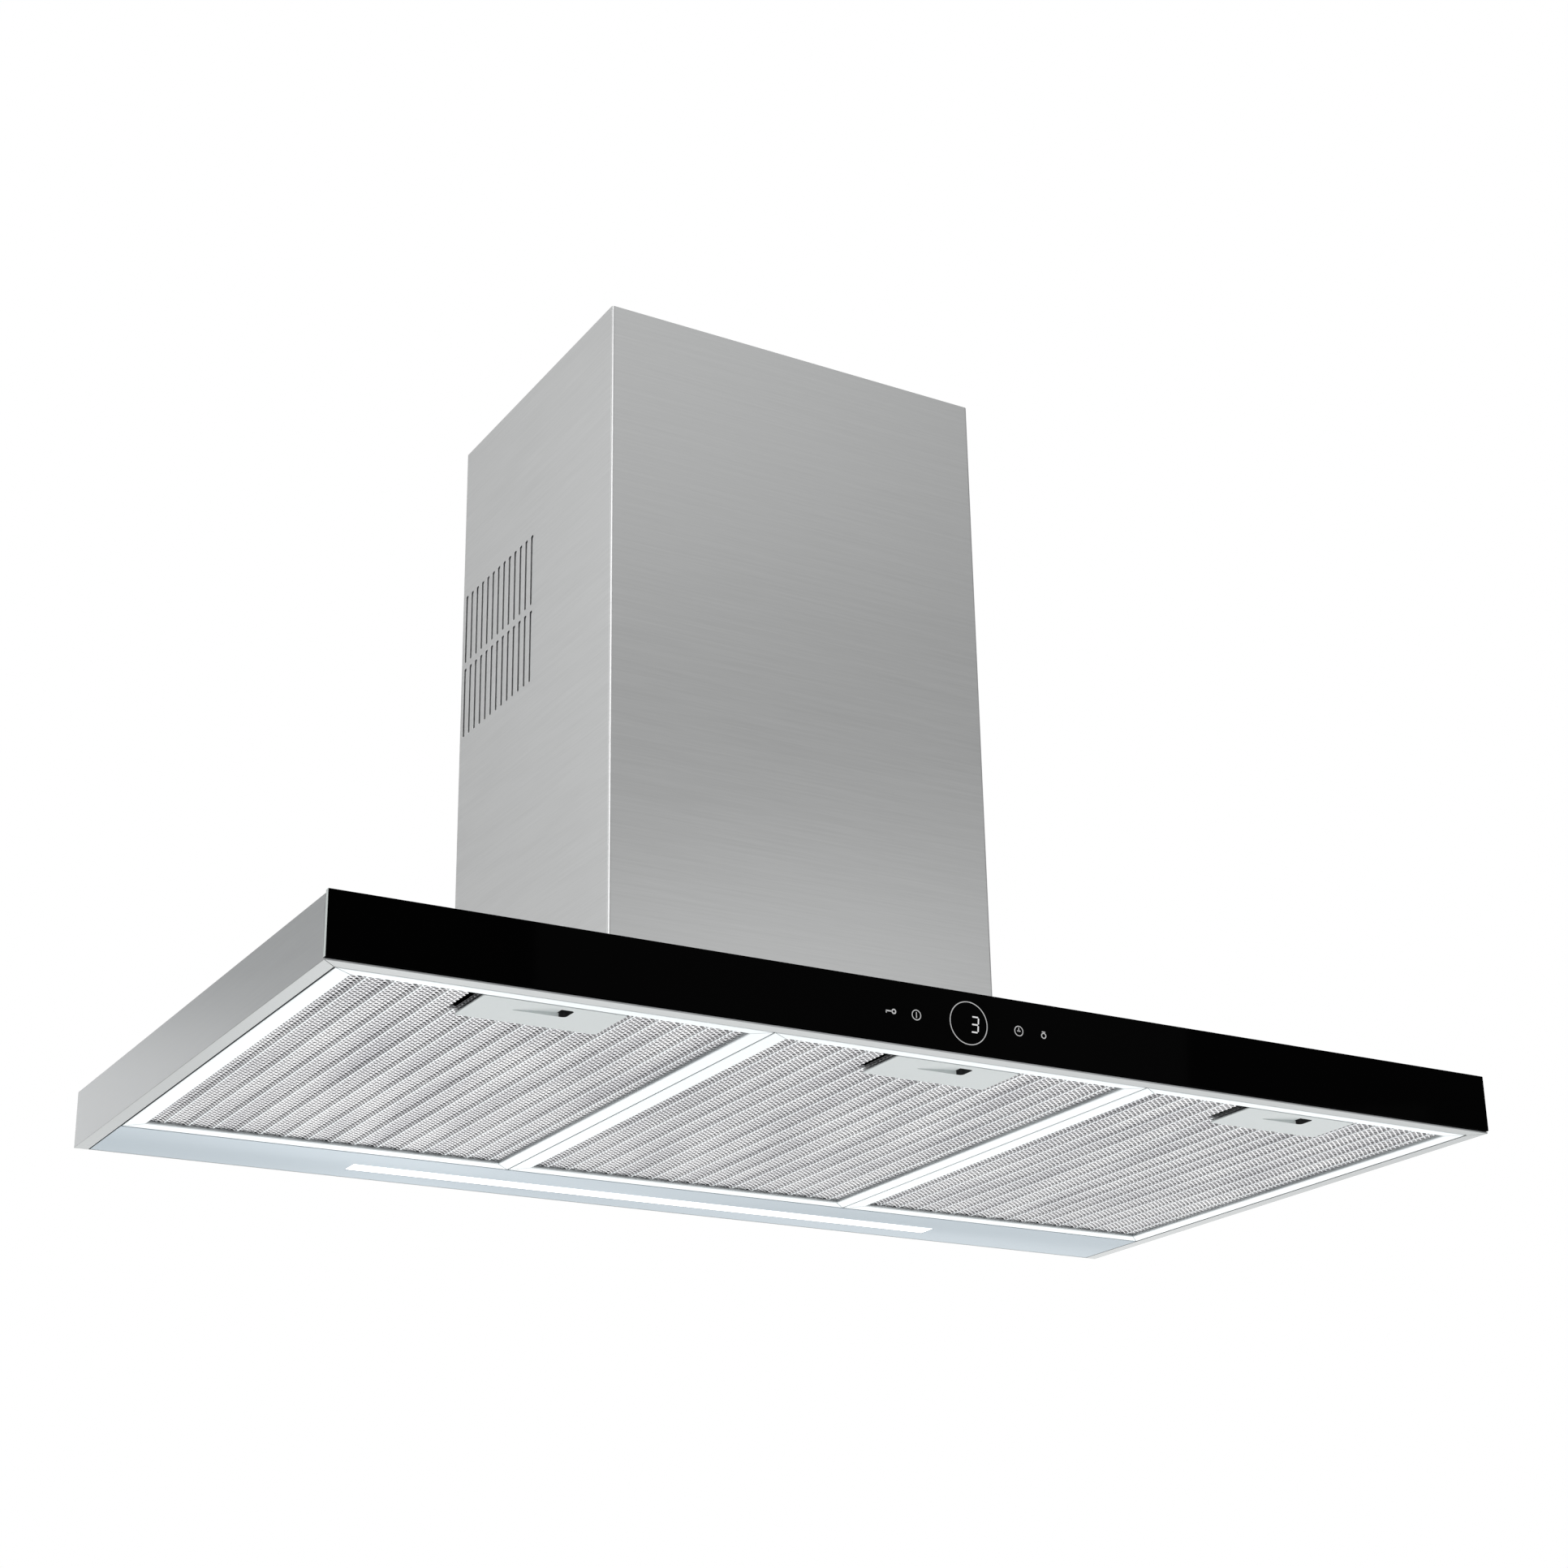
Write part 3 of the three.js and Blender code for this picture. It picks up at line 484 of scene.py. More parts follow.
PITCH = mm("filter_frame_2")[0].x - mm("filter_frame_1")[0].x
FRAME_LOW, FRAME_HIGH = mm("filter_frame_2")
FRAME_REAR = 168.6              # the tabs reach past this
BORDER = 13                     # face of the frame at the sides and the rear
FRONT_BORDER = 9
WINDOW_SIDE = FRAME_HIGH.x - BORDER
WINDOW_FRONT = FRAME_LOW.y + FRONT_BORDER
WINDOW_REAR = FRAME_REAR - BORDER
RIDGE_PITCH = 17.45
LAST_RIDGE = 7                  # counted from the middle one
CELL_WIDE = RIDGE_PITCH / 3     # one diamond of the expanded sheet
CELL_LONG = 4.6
CELLS_ACROSS = 47
CELLS_ALONG = 82
SHEET_FRONT = -222.2            # trimmed to the frame's window afterwards
PACK_COLUMN = RIDGE_PITCH / 6
STRAND = 0.55                   # half the width of a strand
MESH_Z = 2.3
RIDGE_DROP = 0.7


def to_ridge(x):
    """How far a place is from the nearest ridge."""
    nearest = max(-LAST_RIDGE, min(LAST_RIDGE, round(x / RIDGE_PITCH)))
    return abs(x - nearest * RIDGE_PITCH)


def latch_room(piece, rear):
    """Cuts a sheet away over the latch, and leaves the narrow dark slot at the latch's left."""
    for low_x, high_x, back in ((-24.5, 24.5, rear), (-54.5, -48.6, -183)):
        pick(piece, "FACE", lambda c, n: low_x < c.x < high_x and c.y < back)
        drop_picked()


def trim(sheet):
    """Cuts a sheet off a little inside the frame's window."""
    room = 0.25
    side = WINDOW_SIDE - room
    front = WINDOW_FRONT + room
    rear = WINDOW_REAR - room
    for at, normal in (((-side, 0), (-1, 0, 0)), ((side, 0), (1, 0, 0)),
                       ((0, front), (0, -1, 0)), ((0, rear), (0, 1, 0))):
        pick_all(sheet)
        bpy.ops.mesh.bisect(plane_co=(at[0] * MM, at[1] * MM, 0), plane_no=normal,
                            clear_outer=True)
    put_down()


def expanded_sheet():
    """Diamond mesh, folded into ridges that run from front to rear."""
    put_down()
    bpy.ops.mesh.primitive_circle_add(vertices=4, radius=0.5, fill_type="NGON")
    sheet = bpy.context.object
    sheet.scale = (CELL_WIDE * MM, CELL_LONG * MM, 1)
    settle(sheet)
    pick_all(sheet)
    bpy.ops.mesh.inset(thickness=STRAND * MM, use_even_offset=True)
    drop_picked()
    half_step = copy(sheet, "half_step", (CELL_WIDE / 2, CELL_LONG / 2, 0))
    repeat(sheet, CELLS_ACROSS, (CELL_WIDE, 0, 0))
    repeat(half_step, CELLS_ACROSS - 1, (CELL_WIDE, 0, 0))
    sheet = join([sheet, half_step], "expanded_sheet")
    pick_all(sheet)
    bpy.ops.mesh.remove_doubles(threshold=0.00002)
    nudge(-(CELLS_ACROSS // 2) * CELL_WIDE, 0, MESH_Z)
    steps = sorted({round(to_ridge(v.co.x / MM), 2) for v in sheet.data.vertices})
    for step in steps:
        drop = RIDGE_DROP * (1 - step / (CELL_WIDE / 2))
        if drop > 0:
            pick(sheet, "VERT", lambda c, n: abs(to_ridge(c.x) - step) < 0.011)
            nudge(0, 0, -drop)
    # Each band between two ridges lies a little askew, so that it takes its own grey.
    lean = random.Random(4)
    flat_half = RIDGE_PITCH / 2 - 2.5
    for i in range(-LAST_RIDGE, LAST_RIDGE):
        middle = (i + 0.5) * RIDGE_PITCH
        pick(sheet, "VERT", lambda c, n: abs(c.x - middle) < flat_half)
        bpy.ops.transform.rotate(value=math.radians(lean.uniform(-1.6, 1.6)), orient_axis="Y",
                                 center_override=(middle * MM, 0, MESH_Z * MM))
    put_down()
    # Folding tears the diamonds open along one side of each ridge.
    pick(sheet, "FACE", lambda c, n: c.y > CELL_LONG / 2 and 0.7 < to_ridge(c.x) < 2.4
         and to_ridge(c.x + 0.1) < to_ridge(c.x))
    drop_picked()
    repeat(sheet, CELLS_ALONG, (0, CELL_LONG, 0))
    pick_all(sheet)
    bpy.ops.mesh.remove_doubles(threshold=0.00002)
    nudge(0, SHEET_FRONT, 0)
    trim(sheet)
    latch_room(sheet, -181)
    apply(sheet, "SOLIDIFY", thickness=0.35 * MM, offset=0)
    outward(sheet)
    strands = len(sheet.data.polygons)
    return join([sheet, ridge_crests()], "expanded_sheet"), strands


def ridge_crests():
    """The rollers press the strands flat and bright along each ridge's crest."""
    length = 3.2
    width = 1.3
    z = MESH_Z - RIDGE_DROP
    crests = []
    for i in range(-LAST_RIDGE, LAST_RIDGE + 1):
        x = i * RIDGE_PITCH + 0.4
        crests.append(block("crest", (x, (CELL_LONG - length) / 2, z - 0.3),
                            (x + width, (CELL_LONG + length) / 2, z - 0.1)))
    crests = join(crests, "crests")
    repeat(crests, CELLS_ALONG - 1, (0, CELL_LONG, 0))
    pick_all(crests)
    nudge(0, SHEET_FRONT + 2.2, 0)
    latch_room(crests, -176)
    pick(crests, "FACE", lambda c, n: abs(c.x) < 49 and c.y < -174.6)
    drop_picked()
    return crests


def mesh_pack():
    """The inner layers, seen through the outer one as a darker sheet with the same ridges."""
    put_down()
    columns = 98
    bpy.ops.mesh.primitive_grid_add(x_subdivisions=columns, y_subdivisions=60, size=1)
    pack = bpy.context.object
    pack.scale = (columns * PACK_COLUMN * MM, 392 * MM, 1)
    pack.location = (0, (FRAME_REAR + FRAME_LOW.y) / 2 * MM, 3.6 * MM)
    settle(pack)
    pick(pack, "VERT", lambda c, n: to_ridge(c.x) < 1.6)
    nudge(0, 0, -0.6)
    latch_room(pack, -181)
    # Beside each ridge the layers stand apart, and one looks into the dark between them.
    pick(pack, "FACE", lambda c, n: to_ridge(c.x + PACK_COLUMN / 2) < 0.5)
    nudge(0, 0, 1.3)
    return apply(pack, "SOLIDIFY", thickness=0.2 * MM, offset=0)


def window(name, grow, bottom, top):
    """A block that fills the frame's window, grown a little on each side."""
    return block(name, (-WINDOW_SIDE - grow, WINDOW_FRONT - grow, bottom),
                 (WINDOW_SIDE + grow, WINDOW_REAR + grow, top))


def filter_border():
    """A mitred channel frame of folded aluminium, with rounded bends."""
    low, high = FRAME_LOW, FRAME_HIGH
    border = block("filter_border", (low.x, low.y, low.z), (high.x, FRAME_REAR, high.z))
    soften(border, 0.6)
    cut(border, window("sides", 1.1, -1, 10))
    # A rolled hem stands round the window, and the sheets end inside it.
    hem = window("hem", 1.2, low.z, 2.4)
    cut(hem, window("opening", 0, -1, 10))
    pick(hem, "EDGE", lambda c, d: c.z < low.z + 0.01 and (
        abs(abs(c.x) - WINDOW_SIDE) < 0.1 or
        min(abs(c.y - WINDOW_FRONT), abs(c.y - WINDOW_REAR)) < 0.1))
    round_off(0.95, 4)
    wall = 1.0
    channel = block("channel", (low.x + wall, low.y + wall, wall),
                    (high.x - wall, FRAME_REAR - wall, high.z - wall))
    cut(border, channel)
    cut(border, hem, "UNION")
    for side in (-1, 1):
        tab = block("tab", (side * 105 - 15, FRAME_REAR - 0.5, 4),
                    (side * 105 + 15, FRAME_REAR + 6.4, 5.2))
        cut(border, soften(tab, 0.4), "UNION")
    slot = block("slot", (-16, low.y - 1, 2.2), (16, low.y + 2, 5.4))
    cut(border, slot)
    for across in (-1, 1):
        for y, step in ((low.y, FRONT_BORDER), (FRAME_REAR, -BORDER)):
            corner = Vector((across * high.x, y, 0))
            mitre(border, corner, corner + Vector((-across * BORDER, step, 0)), 0.4, 2, 0.25,
                  0.6)
    return smooth(border)


HOLE_LEFT = 9.5
HOLE_RIGHT = 15.0


def latch_front():
    """A moulded plate with a finger tray that deepens to the right, a finger hole at the tray's
    right end and a tongue in front."""
    low = mm("latch_plate_2")[0]
    front = low.y + 10.2
    plate = block("latch", (-48, front, 0.2), (48, front + 45, 1.2))
    pick(plate, "EDGE", lambda c, d: abs(d.z) > 0.9)
    round_off(2.0, 4)
    soften(plate, 0.25)
    grip = front + 6
    pocket = block("pocket", (-22, grip - 1.5, 1), (22, grip + 17.9, 7.2))
    pick(pocket, "EDGE", lambda c, d: abs(d.z) > 0.9)
    round_off(3.5, 4)
    cut(plate, pocket, "UNION")
    tray = block("tray", (-20.5, grip, -1), (HOLE_LEFT + 1, grip + 14, 2.8))
    pick(tray, "VERT", lambda c, n: c.z > 1 and c.x < 0)
    nudge(0, 0, -2.35)
    hole = block("hole", (HOLE_LEFT, grip, -1), (HOLE_RIGHT, grip + 14, 9))
    pick(hole, "EDGE", lambda c, d: abs(d.z) > 0.9 and c.x > HOLE_RIGHT - 1)
    round_off(2.4, 5)
    cut(plate, tray)
    cut(plate, hole)
    tongue = block("tongue", (-14, low.y, 2.6), (14, grip - 1, 5))
    cut(plate, soften(tongue, 0.5), "UNION")
    root = block("root", (-14, front + 1.5, 0.9), (14, grip - 1, 4.9))
    cut(plate, root, "UNION")
    return smooth(plate)


def filters():
    sheet, strands = expanded_sheet()
    pack = mesh_pack()
    border = filter_border()
    plate = latch_front()
    for number in (1, 2, 3):
        shift = ((number - 2) * PITCH, 0, 0)
        body = f"filter_{number}"
        outer = hand_in(copy(sheet, f"filter_sheet_{number}", shift), "mesh_aluminium", body,
                        f"filter_mesh_{number}")
        outer.data.materials.append(frame_aluminium)
        for face in outer.data.polygons[strands:]:
            face.material_index = 1
        inner = copy(pack, f"filter_pack_{number}", shift)
        hand_in(inner, "mesh_aluminium", body)
        inner.data.materials[0] = pack_aluminium
        inner.data.materials.append(painted_shade_aluminium)
        # Faces beside each ridge take the near-black copy: painted shade between the layers.
        for face in inner.data.polygons:
            if to_ridge(face.center.x / MM - shift[0] + PACK_COLUMN / 2) < 1.5:
                face.material_index = 1
        hand_in(copy(border, f"filter_border_{number}", shift), "frame_aluminium", body,
                f"filter_frame_{number}")
        front = hand_in(copy(plate, f"latch_front_{number}", shift), "latch_plastic",
                        f"latch_{number}", f"latch_plate_{number}")
        # The finger hole's walls take the black plastic: painted shade inside the hole.
        front.data.materials.append(black_plastic)
        for face in front.data.polygons:
            at = face.center / MM
            side = at.x - shift[0]
            if 1.4 < at.z < 6.95 and HOLE_LEFT < side < HOLE_RIGHT + 0.1 and at.y > -212:
                face.material_index = 1
    for piece in (sheet, pack, border, plate):
        bpy.data.objects.remove(piece)


filters()


# ---------------------------------------------------------------- chimney covers

def vented_cover(name, node_name, vent_bottom, body, grow=0.0):
    """A cover of 0.6 mm sheet with bends of 2.2 mm radius, open at the back between two
    return flanges, with two rows of 13 slots in each side."""
    low, high = mm(node_name)
    room = Vector((grow, grow, 0))
    low, high = low - room, high + room
    cover = block(name, low, high)
    for x, normal in ((high.x - 21.2, 1), (low.x + 21.2, -1)):
        pick_all(cover)
        bpy.ops.mesh.bisect(plane_co=(x * MM, 0, 0), plane_no=(normal, 0, 0))
    pick(cover, "FACE", lambda c, n: abs(n.z) > 0.9 or (n.y > 0.9 and abs(c.x) < 100))
    drop_picked()
    pick(cover, "EDGE", lambda c, d: abs(c.x) < 150 and abs(d.z) > 0.9 and c.y < 0)
    bpy.ops.mesh.dissolve_edges()
    pick(cover, "EDGE", lambda c, d: abs(c.x) > 155 and abs(d.z) > 0.9)
    round_off(2.2, 5)
    apply(cover, "SOLIDIFY", thickness=0.6 * MM, offset=-1)
    first = 109.8
    slots = block("slots", (-170, first - 2.2, vent_bottom), (170, first + 2.2, vent_bottom + 60))
    pick(slots, "EDGE", lambda c, d: abs(d.x) > 0.9)
    round_off(1.2, 3)
    repeat(slots, 13, (0, 10.4, 0))
    repeat(slots, 2, (0, 0, 65.8))
    cut(cover, slots)
    # The punch rounds the slots' outer edges, which catch the light.
    top = vent_bottom + 126
    pick(cover, "EDGE", lambda c, d: abs(abs(c.x) - high.x) < 0.05 and 107 < c.y < 237.5
         and vent_bottom - 0.1 < c.z < top)
    round_off(0.4, 2)
    smooth(cover)
    return hand_in(cover, "chimney_steel", body, node_name)


vented_cover("lower_cover", "lower_chimney", 370.5, "hood")
# The covers nest closely, and the inner one shows through the outer one's slots.
vented_cover("upper_cover", "upper_chimney", 500.0, "upper_chimney", 0.6)


# ---------------------------------------------------------------- glass and its print

def ground_edge():
    """Toughened glass edge, ground and polished: pale grey-green and silky."""
    return speckled("ground_glass_edge", "a9b0ae", "bcc2c0", 700, (0.3, 0.4), IOR=1.52)


def printed_ink(name, srgb, glow):
    """Ceramic ink lit from behind the glass: an even pale grey."""
    material, tree, shader = start(name, Roughness=0.4, IOR=1.5)
    cloud = add(tree, "ShaderNodeTexNoise", {"Vector": place(tree), "Scale": 400.0})
    vary(tree, shader, cloud.outputs["Fac"], srgb, "d0d0d0")
    shader.inputs["Emission Color"].default_value = linear(srgb)
    shader.inputs["Emission Strength"].default_value = glow
    return material


def front_glass():
    """The glass is set back by 0.1 mm, so that its print stays inside the hood's depth."""
    low, high = mm("front_glass")
    glass = soften(block("glass_front", (low.x, low.y + 0.1, low.z), high), 0.6)
    hand_in(glass, "black_glass", "hood", "front_glass")
    glass.data.materials.append(ground_edge())
    for face in glass.data.polygons:
        if abs(face.normal.x) > 0.5 or face.normal.z > 0.5:
            face.material_index = 1
    smooth(glass)


CONTROL_X = -7.5
CONTROL_Z = 21.7
PRINT_Y = mm("front_glass")[0].y + 0.04
PRINT_THICK = 0.06


def flat_ring(name, x, z, radius, line, sides=48):
    """A thin printed ring on the glass."""
    put_down()
    bpy.ops.mesh.primitive_circle_add(
        vertices=sides, radius=radius * MM, fill_type="NGON",
        location=(x * MM, PRINT_Y * MM, z * MM), rotation=(math.pi / 2, 0, 0))
    ring = settle(bpy.context.object)
    ring.name = name
    pick_all(ring)
    bpy.ops.mesh.inset(thickness=line * MM)
    drop_picked()
    apply(ring, "SOLIDIFY", thickness=PRINT_THICK * MM, offset=0)
    return outward(ring)


def stroke(x, z, length, width, turn=0.0):
    """A thin printed bar with rounded ends, turned in the plane of the glass."""
    half = Vector((length, PRINT_THICK, width)) / 2
    bar = block("stroke", -half, half)
    pick(bar, "EDGE", lambda c, d: abs(d.y) > 0.9)
    round_off(width * 0.42, 3)
    bar.rotation_euler = (0, turn, 0)
    bar.location = (x * MM, PRINT_Y * MM, z * MM)
    return settle(bar)


def controls():
    ring = hand_in(flat_ring("control_ring", CONTROL_X, CONTROL_Z, 14.8, 0.65, 72),
                   "white_plastic", "hood")
    ring.data.materials[0] = printed_ink("ceramic_ink_grey", "8a8a8a", 0.16)
    # A seven-segment three: three bars across and two down the right.
    x, z = CONTROL_X + 4.9, CONTROL_Z - 0.4
    slant = 0.09
    upright = math.pi / 2
    bars = [stroke(x + up * slant, z + up, 4.6, 1.0) for up in (-5.2, 0, 5.2)]
    bars += [stroke(x + 2.6 + up * slant, z + up, 4.2, 1.0, upright + slant)
             for up in (-2.6, 2.6)]
    digit = hand_in(join(bars, "control_digit"), "white_plastic", "hood")
    digit.data.materials[0] = printed_ink("led_digit_white", "c0c0c0", 0.4)
    # Four plain symbols: a key, a ring with a bar, a clock and a drop.
    z = CONTROL_Z
    marks = [
        stroke(-69, z, 4.6, 0.9), flat_ring("key", -65.2, z, 1.8, 0.9, 20),
        stroke(-71, z - 0.8, 1.6, 0.7, upright),
        flat_ring("power", -48, z, 3.6, 0.65, 32), stroke(-48, z, 4.0, 0.65, upright),
        flat_ring("clock", 32.2, z, 3.6, 0.65, 32), stroke(32.2, z, 2.8, 0.75),
        stroke(32.2, z + 1.1, 2.4, 0.65, upright),
        flat_ring("drop", 52.2, z - 0.6, 2.1, 0.75, 24), stroke(52.2, z + 2.0, 2.8, 0.7),
    ]
    marks = hand_in(join(marks, "control_marks"), "white_plastic", "hood")
    marks.data.materials[0] = ring.data.materials[0]


front_glass()
controls()


# ---------------------------------------------------------------- folded and moulded pieces

def rework(node_name, width, body="hood"):
    """A piece of the frame's own shape with its edges rounded, in millimetres."""
    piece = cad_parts[node_name].copy()
    piece.data = piece.data.copy()
    piece.parent = None
    for key in [k for k in piece.keys() if k.startswith("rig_")]:
        del piece[key]
    piece.name = node_name + "_finished"
    bpy.context.scene.collection.objects.link(piece)
    pick_all(piece)
    bpy.ops.mesh.remove_doubles(threshold=0.000005)
    bpy.ops.mesh.dissolve_limited(angle_limit=math.radians(1))
    put_down()
    soften(piece, width, angle=40)
    return hand_in(smooth(piece), slot_of(node_name), body, node_name)


# Sheet is 1 to 1.8 mm thick, so its folded edges are rounded by about 0.3 mm.
SHEET_EDGE = 0.3
for node_name, width in {
    "canopy_shell": SHEET_EDGE, "rear_light_panel": SHEET_EDGE, "lamp_housing": SHEET_EDGE,
    "light_diffuser": 0.25, "led_board": 0.1, "led_driver": 1.5, "touch_board": 0.15,
    "display_module": 0.5, "control_cover": 0.8, "blower_case": SHEET_EDGE,
    "wall_hanging_strip": SHEET_EDGE, "scroll_wrap": 0.2, "scroll_cheek_left": SHEET_EDGE,
    "scroll_cheek_right": SHEET_EDGE, "motor_bracket": SHEET_EDGE, "power_box": 0.8,
    "power_box_lid": 0.8, "power_board": 0.15, "cable_gland": 0.6,
}.items():
    rework(node_name, width)
rework("chimney_wall_bracket", SHEET_EDGE, body="upper_chimney")


def canopy_corners():
    """The flange meets in mitres at the two front corners, and its steel is painted paler than
    the rest of the shell: painted light.
    """
    shell = bpy.data.objects["canopy_shell_finished"]
    side = mm("canopy_shell")[1].x
    front = mm("front_glass")[0].y
    for sign in (-1, 1):
        mitre(shell, Vector((sign * side, front + 1.5, 0)),
              Vector((sign * (side - 10.2), front + 12, 0)), 0.6, -0.6, 0.2, 0.5)
    smooth(shell)
    # The shell takes the darker copy of the steel, painted shade; its flange takes the paler
    # copy, painted light.
    shell.data.materials.clear()
    shell.data.materials.append(canopy_steel)
    shell.data.materials.append(flange_steel_painted_light)
    # Faces that look down at the bottom take the paler copy: painted light.
    for face in shell.data.polygons:
        if face.normal.z < -0.7 and face.center.z < 2 * MM:
            face.material_index = 1


canopy_corners()
for number in (1, 2, 3):
    rework(f"latch_carrier_{number}", 0.3, body=f"filter_{number}")


# ---------------------------------------------------------------- screws

def round_screw(name, node_name, axis, body, head_depth, cross):
    """A pan-head screw with a cross recess and a plain round shank where the thread would be."""
    low, high = mm(node_name)
    at = (low + high) / 2
    i = "xyz".index(axis)
    others = [k for k in range(3) if k != i]
    radius = (high[others[0]] - low[others[0]]) / 2
    far_head = head_depth > 0
    head = (high[i] - head_depth, high[i]) if far_head else (low[i], low[i] - head_depth)
    shank = (low[i], head[0] + 0.2) if far_head else (head[1] - 0.2, high[i])
    top = rod(name, axis, radius, *head, at, 32)
    soften(top, min(abs(head_depth) * 0.45, 1.0), 4)
    face = head[1] if far_head else head[0]
    inward = -1 if far_head else 1
    for k in others:
        half = Vector((0.45, 0.45, 0.45))
        half[k] = radius * 0.55
        begin, end = at - half, at + half
        begin[i], end[i] = sorted((face - inward, face + inward * cross))
        cut(top, block("cross", begin, end))
    stem = rod("stem", axis, radius * 0.5, *shank, at, 24)
    pick(stem, "FACE", lambda c, n: abs(n[i]) < 0.5)
    round_off(0.05, 1)
    return hand_in(smooth(join([top, stem], name)), "zinc_screw", body, node_name)


for number in (1, 2, 3, 4):
    round_screw(f"casing_screw_{number}", f"case_screw_{number}", "z", "hood", 2.4, 1.2)
for side in ("left", "right"):
    round_screw(f"hanging_screw_{side}", f"wall_screw_{side}", "y", "hood", -3.3, 1.6)
round_screw("cover_screw_left", "bracket_screw_left", "x", "upper_chimney", 2.3, 1.2)
round_screw("cover_screw_right", "bracket_screw_right", "x", "upper_chimney", -2.3, 1.2)


# ---------------------------------------------------------------- blower

SHAFT = Vector((0, 95, 157))


def round_the_shaft(piece, count):
    """Copies the whole piece round the shaft."""
    pick_all(piece)
    bpy.ops.mesh.spin(steps=count, angle=2 * math.pi, dupli=True, center=SHAFT * MM,
                      axis=(1, 0, 0))
    bpy.ops.mesh.select_all(action="SELECT")
    bpy.ops.mesh.remove_doubles(threshold=0.00001)
    put_down()


def impeller():
    """A moulded double-inlet wheel with 40 forward-curved blades."""
    put_down()
    bpy.ops.mesh.primitive_plane_add(size=0.001)
    blade = bpy.context.object
    blade.name = "wheel"
    blade.scale = (129, 1, 1)
    root = Vector((0, SHAFT.y + 64, SHAFT.z))
    blade.location = root * MM
    settle(blade)
    pick(blade, "EDGE", lambda c, d: abs(d.x) > 0.9 and c.y > root.y)
    for turn in (16, 16, 14, 12, 10):
        bpy.ops.mesh.extrude_region_move(TRANSFORM_OT_translate={"value": (0, 2.5 * MM, 0)})
        bpy.ops.transform.rotate(value=math.radians(-turn), orient_axis="X",
                                 center_override=root * MM)
    put_down()
    apply(blade, "SOLIDIFY", thickness=1.0 * MM, offset=0)
    outward(blade)
    round_the_shaft(blade, 40)
    disc = rod("disc", "x", 77.6, 0, 2, SHAFT, 96)
    hub = rod("hub", "x", 12, 0, 20, SHAFT, 48)
    cut(disc, hub, "UNION")
    cut(disc, rod("bore", "x", 4.3, -1, 21, SHAFT, 32))
    soften(disc, 0.5)
    web = block("web", (2, SHAFT.y + 10, SHAFT.z - 0.8), (12, SHAFT.y + 40, SHAFT.z + 0.8))
    pick(web, "VERT", lambda c, n: c.x > 10 and c.y > SHAFT.y + 30)
    nudge(-8, 0, 0)
    round_the_shaft(web, 6)
    rings = []
    for begin, end in ((-66, -63), (63, 66)):
        ring = rod("ring", "x", 78, begin, end, SHAFT, 96)
        cut(ring, rod("bore", "x", 69, begin - 1, end + 1, SHAFT, 96))
        rings.append(soften(ring, 0.5))
    wheel = smooth(join([disc, web, blade, *rings], "blower_wheel"))
    return hand_in(wheel, "impeller_plastic", "fan_wheel", "impeller")


def shaft():
    """A ground shaft with a flat for the hub's grub screw."""
    bar = soften(rod("ground_shaft", "x", 4, -3.7, 24, SHAFT, 48), 0.5)
    cut(bar, block("flat", (8, SHAFT.y + 3.4, SHAFT.z - 5), (25, SHAFT.y + 5, SHAFT.z + 5)))
    return hand_in(smooth(bar), "spring_steel", "fan_wheel", "motor_shaft")


def motor():
    """An open-frame capacitor motor: a ribbed stator between two end bells."""
    stator = soften(rod("blower_motor", "x", 38.5, -54, -8, SHAFT, 64), 0.6)
    rib = soften(block("rib", (-53, SHAFT.y + 37, SHAFT.z - 0.9),
                       (-9, SHAFT.y + 40, SHAFT.z + 0.9)), 0.4)
    round_the_shaft(rib, 30)
    bells = []
    for begin, end, radius in ((-58, -53, 40), (-9, -4, 40), (-66, -57, 32)):
        bells.append(soften(rod("bell", "x", radius, begin, end, SHAFT, 64), 1.6, 4))
    neck = soften(rod("neck", "x", 14, -77.6, -65, SHAFT, 48), 1.0, 3)
    vent = block("vent", (-60, SHAFT.y + 24, SHAFT.z - 3), (-55.5, SHAFT.y + 36, SHAFT.z + 3))
    round_the_shaft(vent, 8)
    cut(bells[0], vent)
    piece = smooth(join([stator, rib, *bells, neck], "blower_motor"))
    return hand_in(piece, "motor_steel", "hood", "motor")


def bell_mouths():
    """Moulded inlet rings that flare outwards."""
    for side, sign in (("left", -1), ("right", 1)):
        face = sign * 76.1
        put_down()
        bpy.ops.mesh.primitive_cylinder_add(
            vertices=96, radius=62.6 * MM, depth=6 * MM, end_fill_type="NOTHING",
            location=((face - sign * 3) * MM, SHAFT.y * MM, SHAFT.z * MM),
            rotation=LIE_ALONG["x"])
        mouth = settle(bpy.context.object)
        mouth.name = f"bell_mouth_{side}"
        pick(mouth, "EDGE", lambda c, d: abs(c.x - face) < 0.1)
        for step, grow in ((0.45, 1.03), (0.15, 1.05), (0.0, 1.07)):
            bpy.ops.mesh.extrude_region_move(
                TRANSFORM_OT_translate={"value": (sign * step * MM, 0, 0)})
            bpy.ops.transform.resize(value=(1, grow, grow), center_override=(
                face * MM, SHAFT.y * MM, SHAFT.z * MM))
        put_down()
        outward(mouth)
        apply(mouth, "SOLIDIFY", thickness=1.1 * MM, offset=0)
        hand_in(smooth(mouth, 60), "black_plastic", "hood", f"inlet_ring_{side}")


def run_capacitor():
    """A drawn aluminium can in a white sleeve, with two tabs on top."""
    low, high = mm("capacitor")
    at = (low + high) / 2
    can = rod("run_capacitor", "z", 15, low.z, high.z - 5, at, 64)
    soften(can, 1.6, 4)
    rim = rod("rim", "z", 13.4, high.z - 5.4, high.z - 4, at, 64)
    cut(can, rim, "UNION")
    tabs = [soften(block("tab", (at.x + dx - 0.4, at.y - 3, high.z - 4.5),
                         (at.x + dx + 0.4, at.y + 3, high.z)), 0.2) for dx in (-5, 5)]
    piece = smooth(join([can, *tabs], "run_capacitor"))
    return hand_in(piece, "white_plastic", "hood", "capacitor")


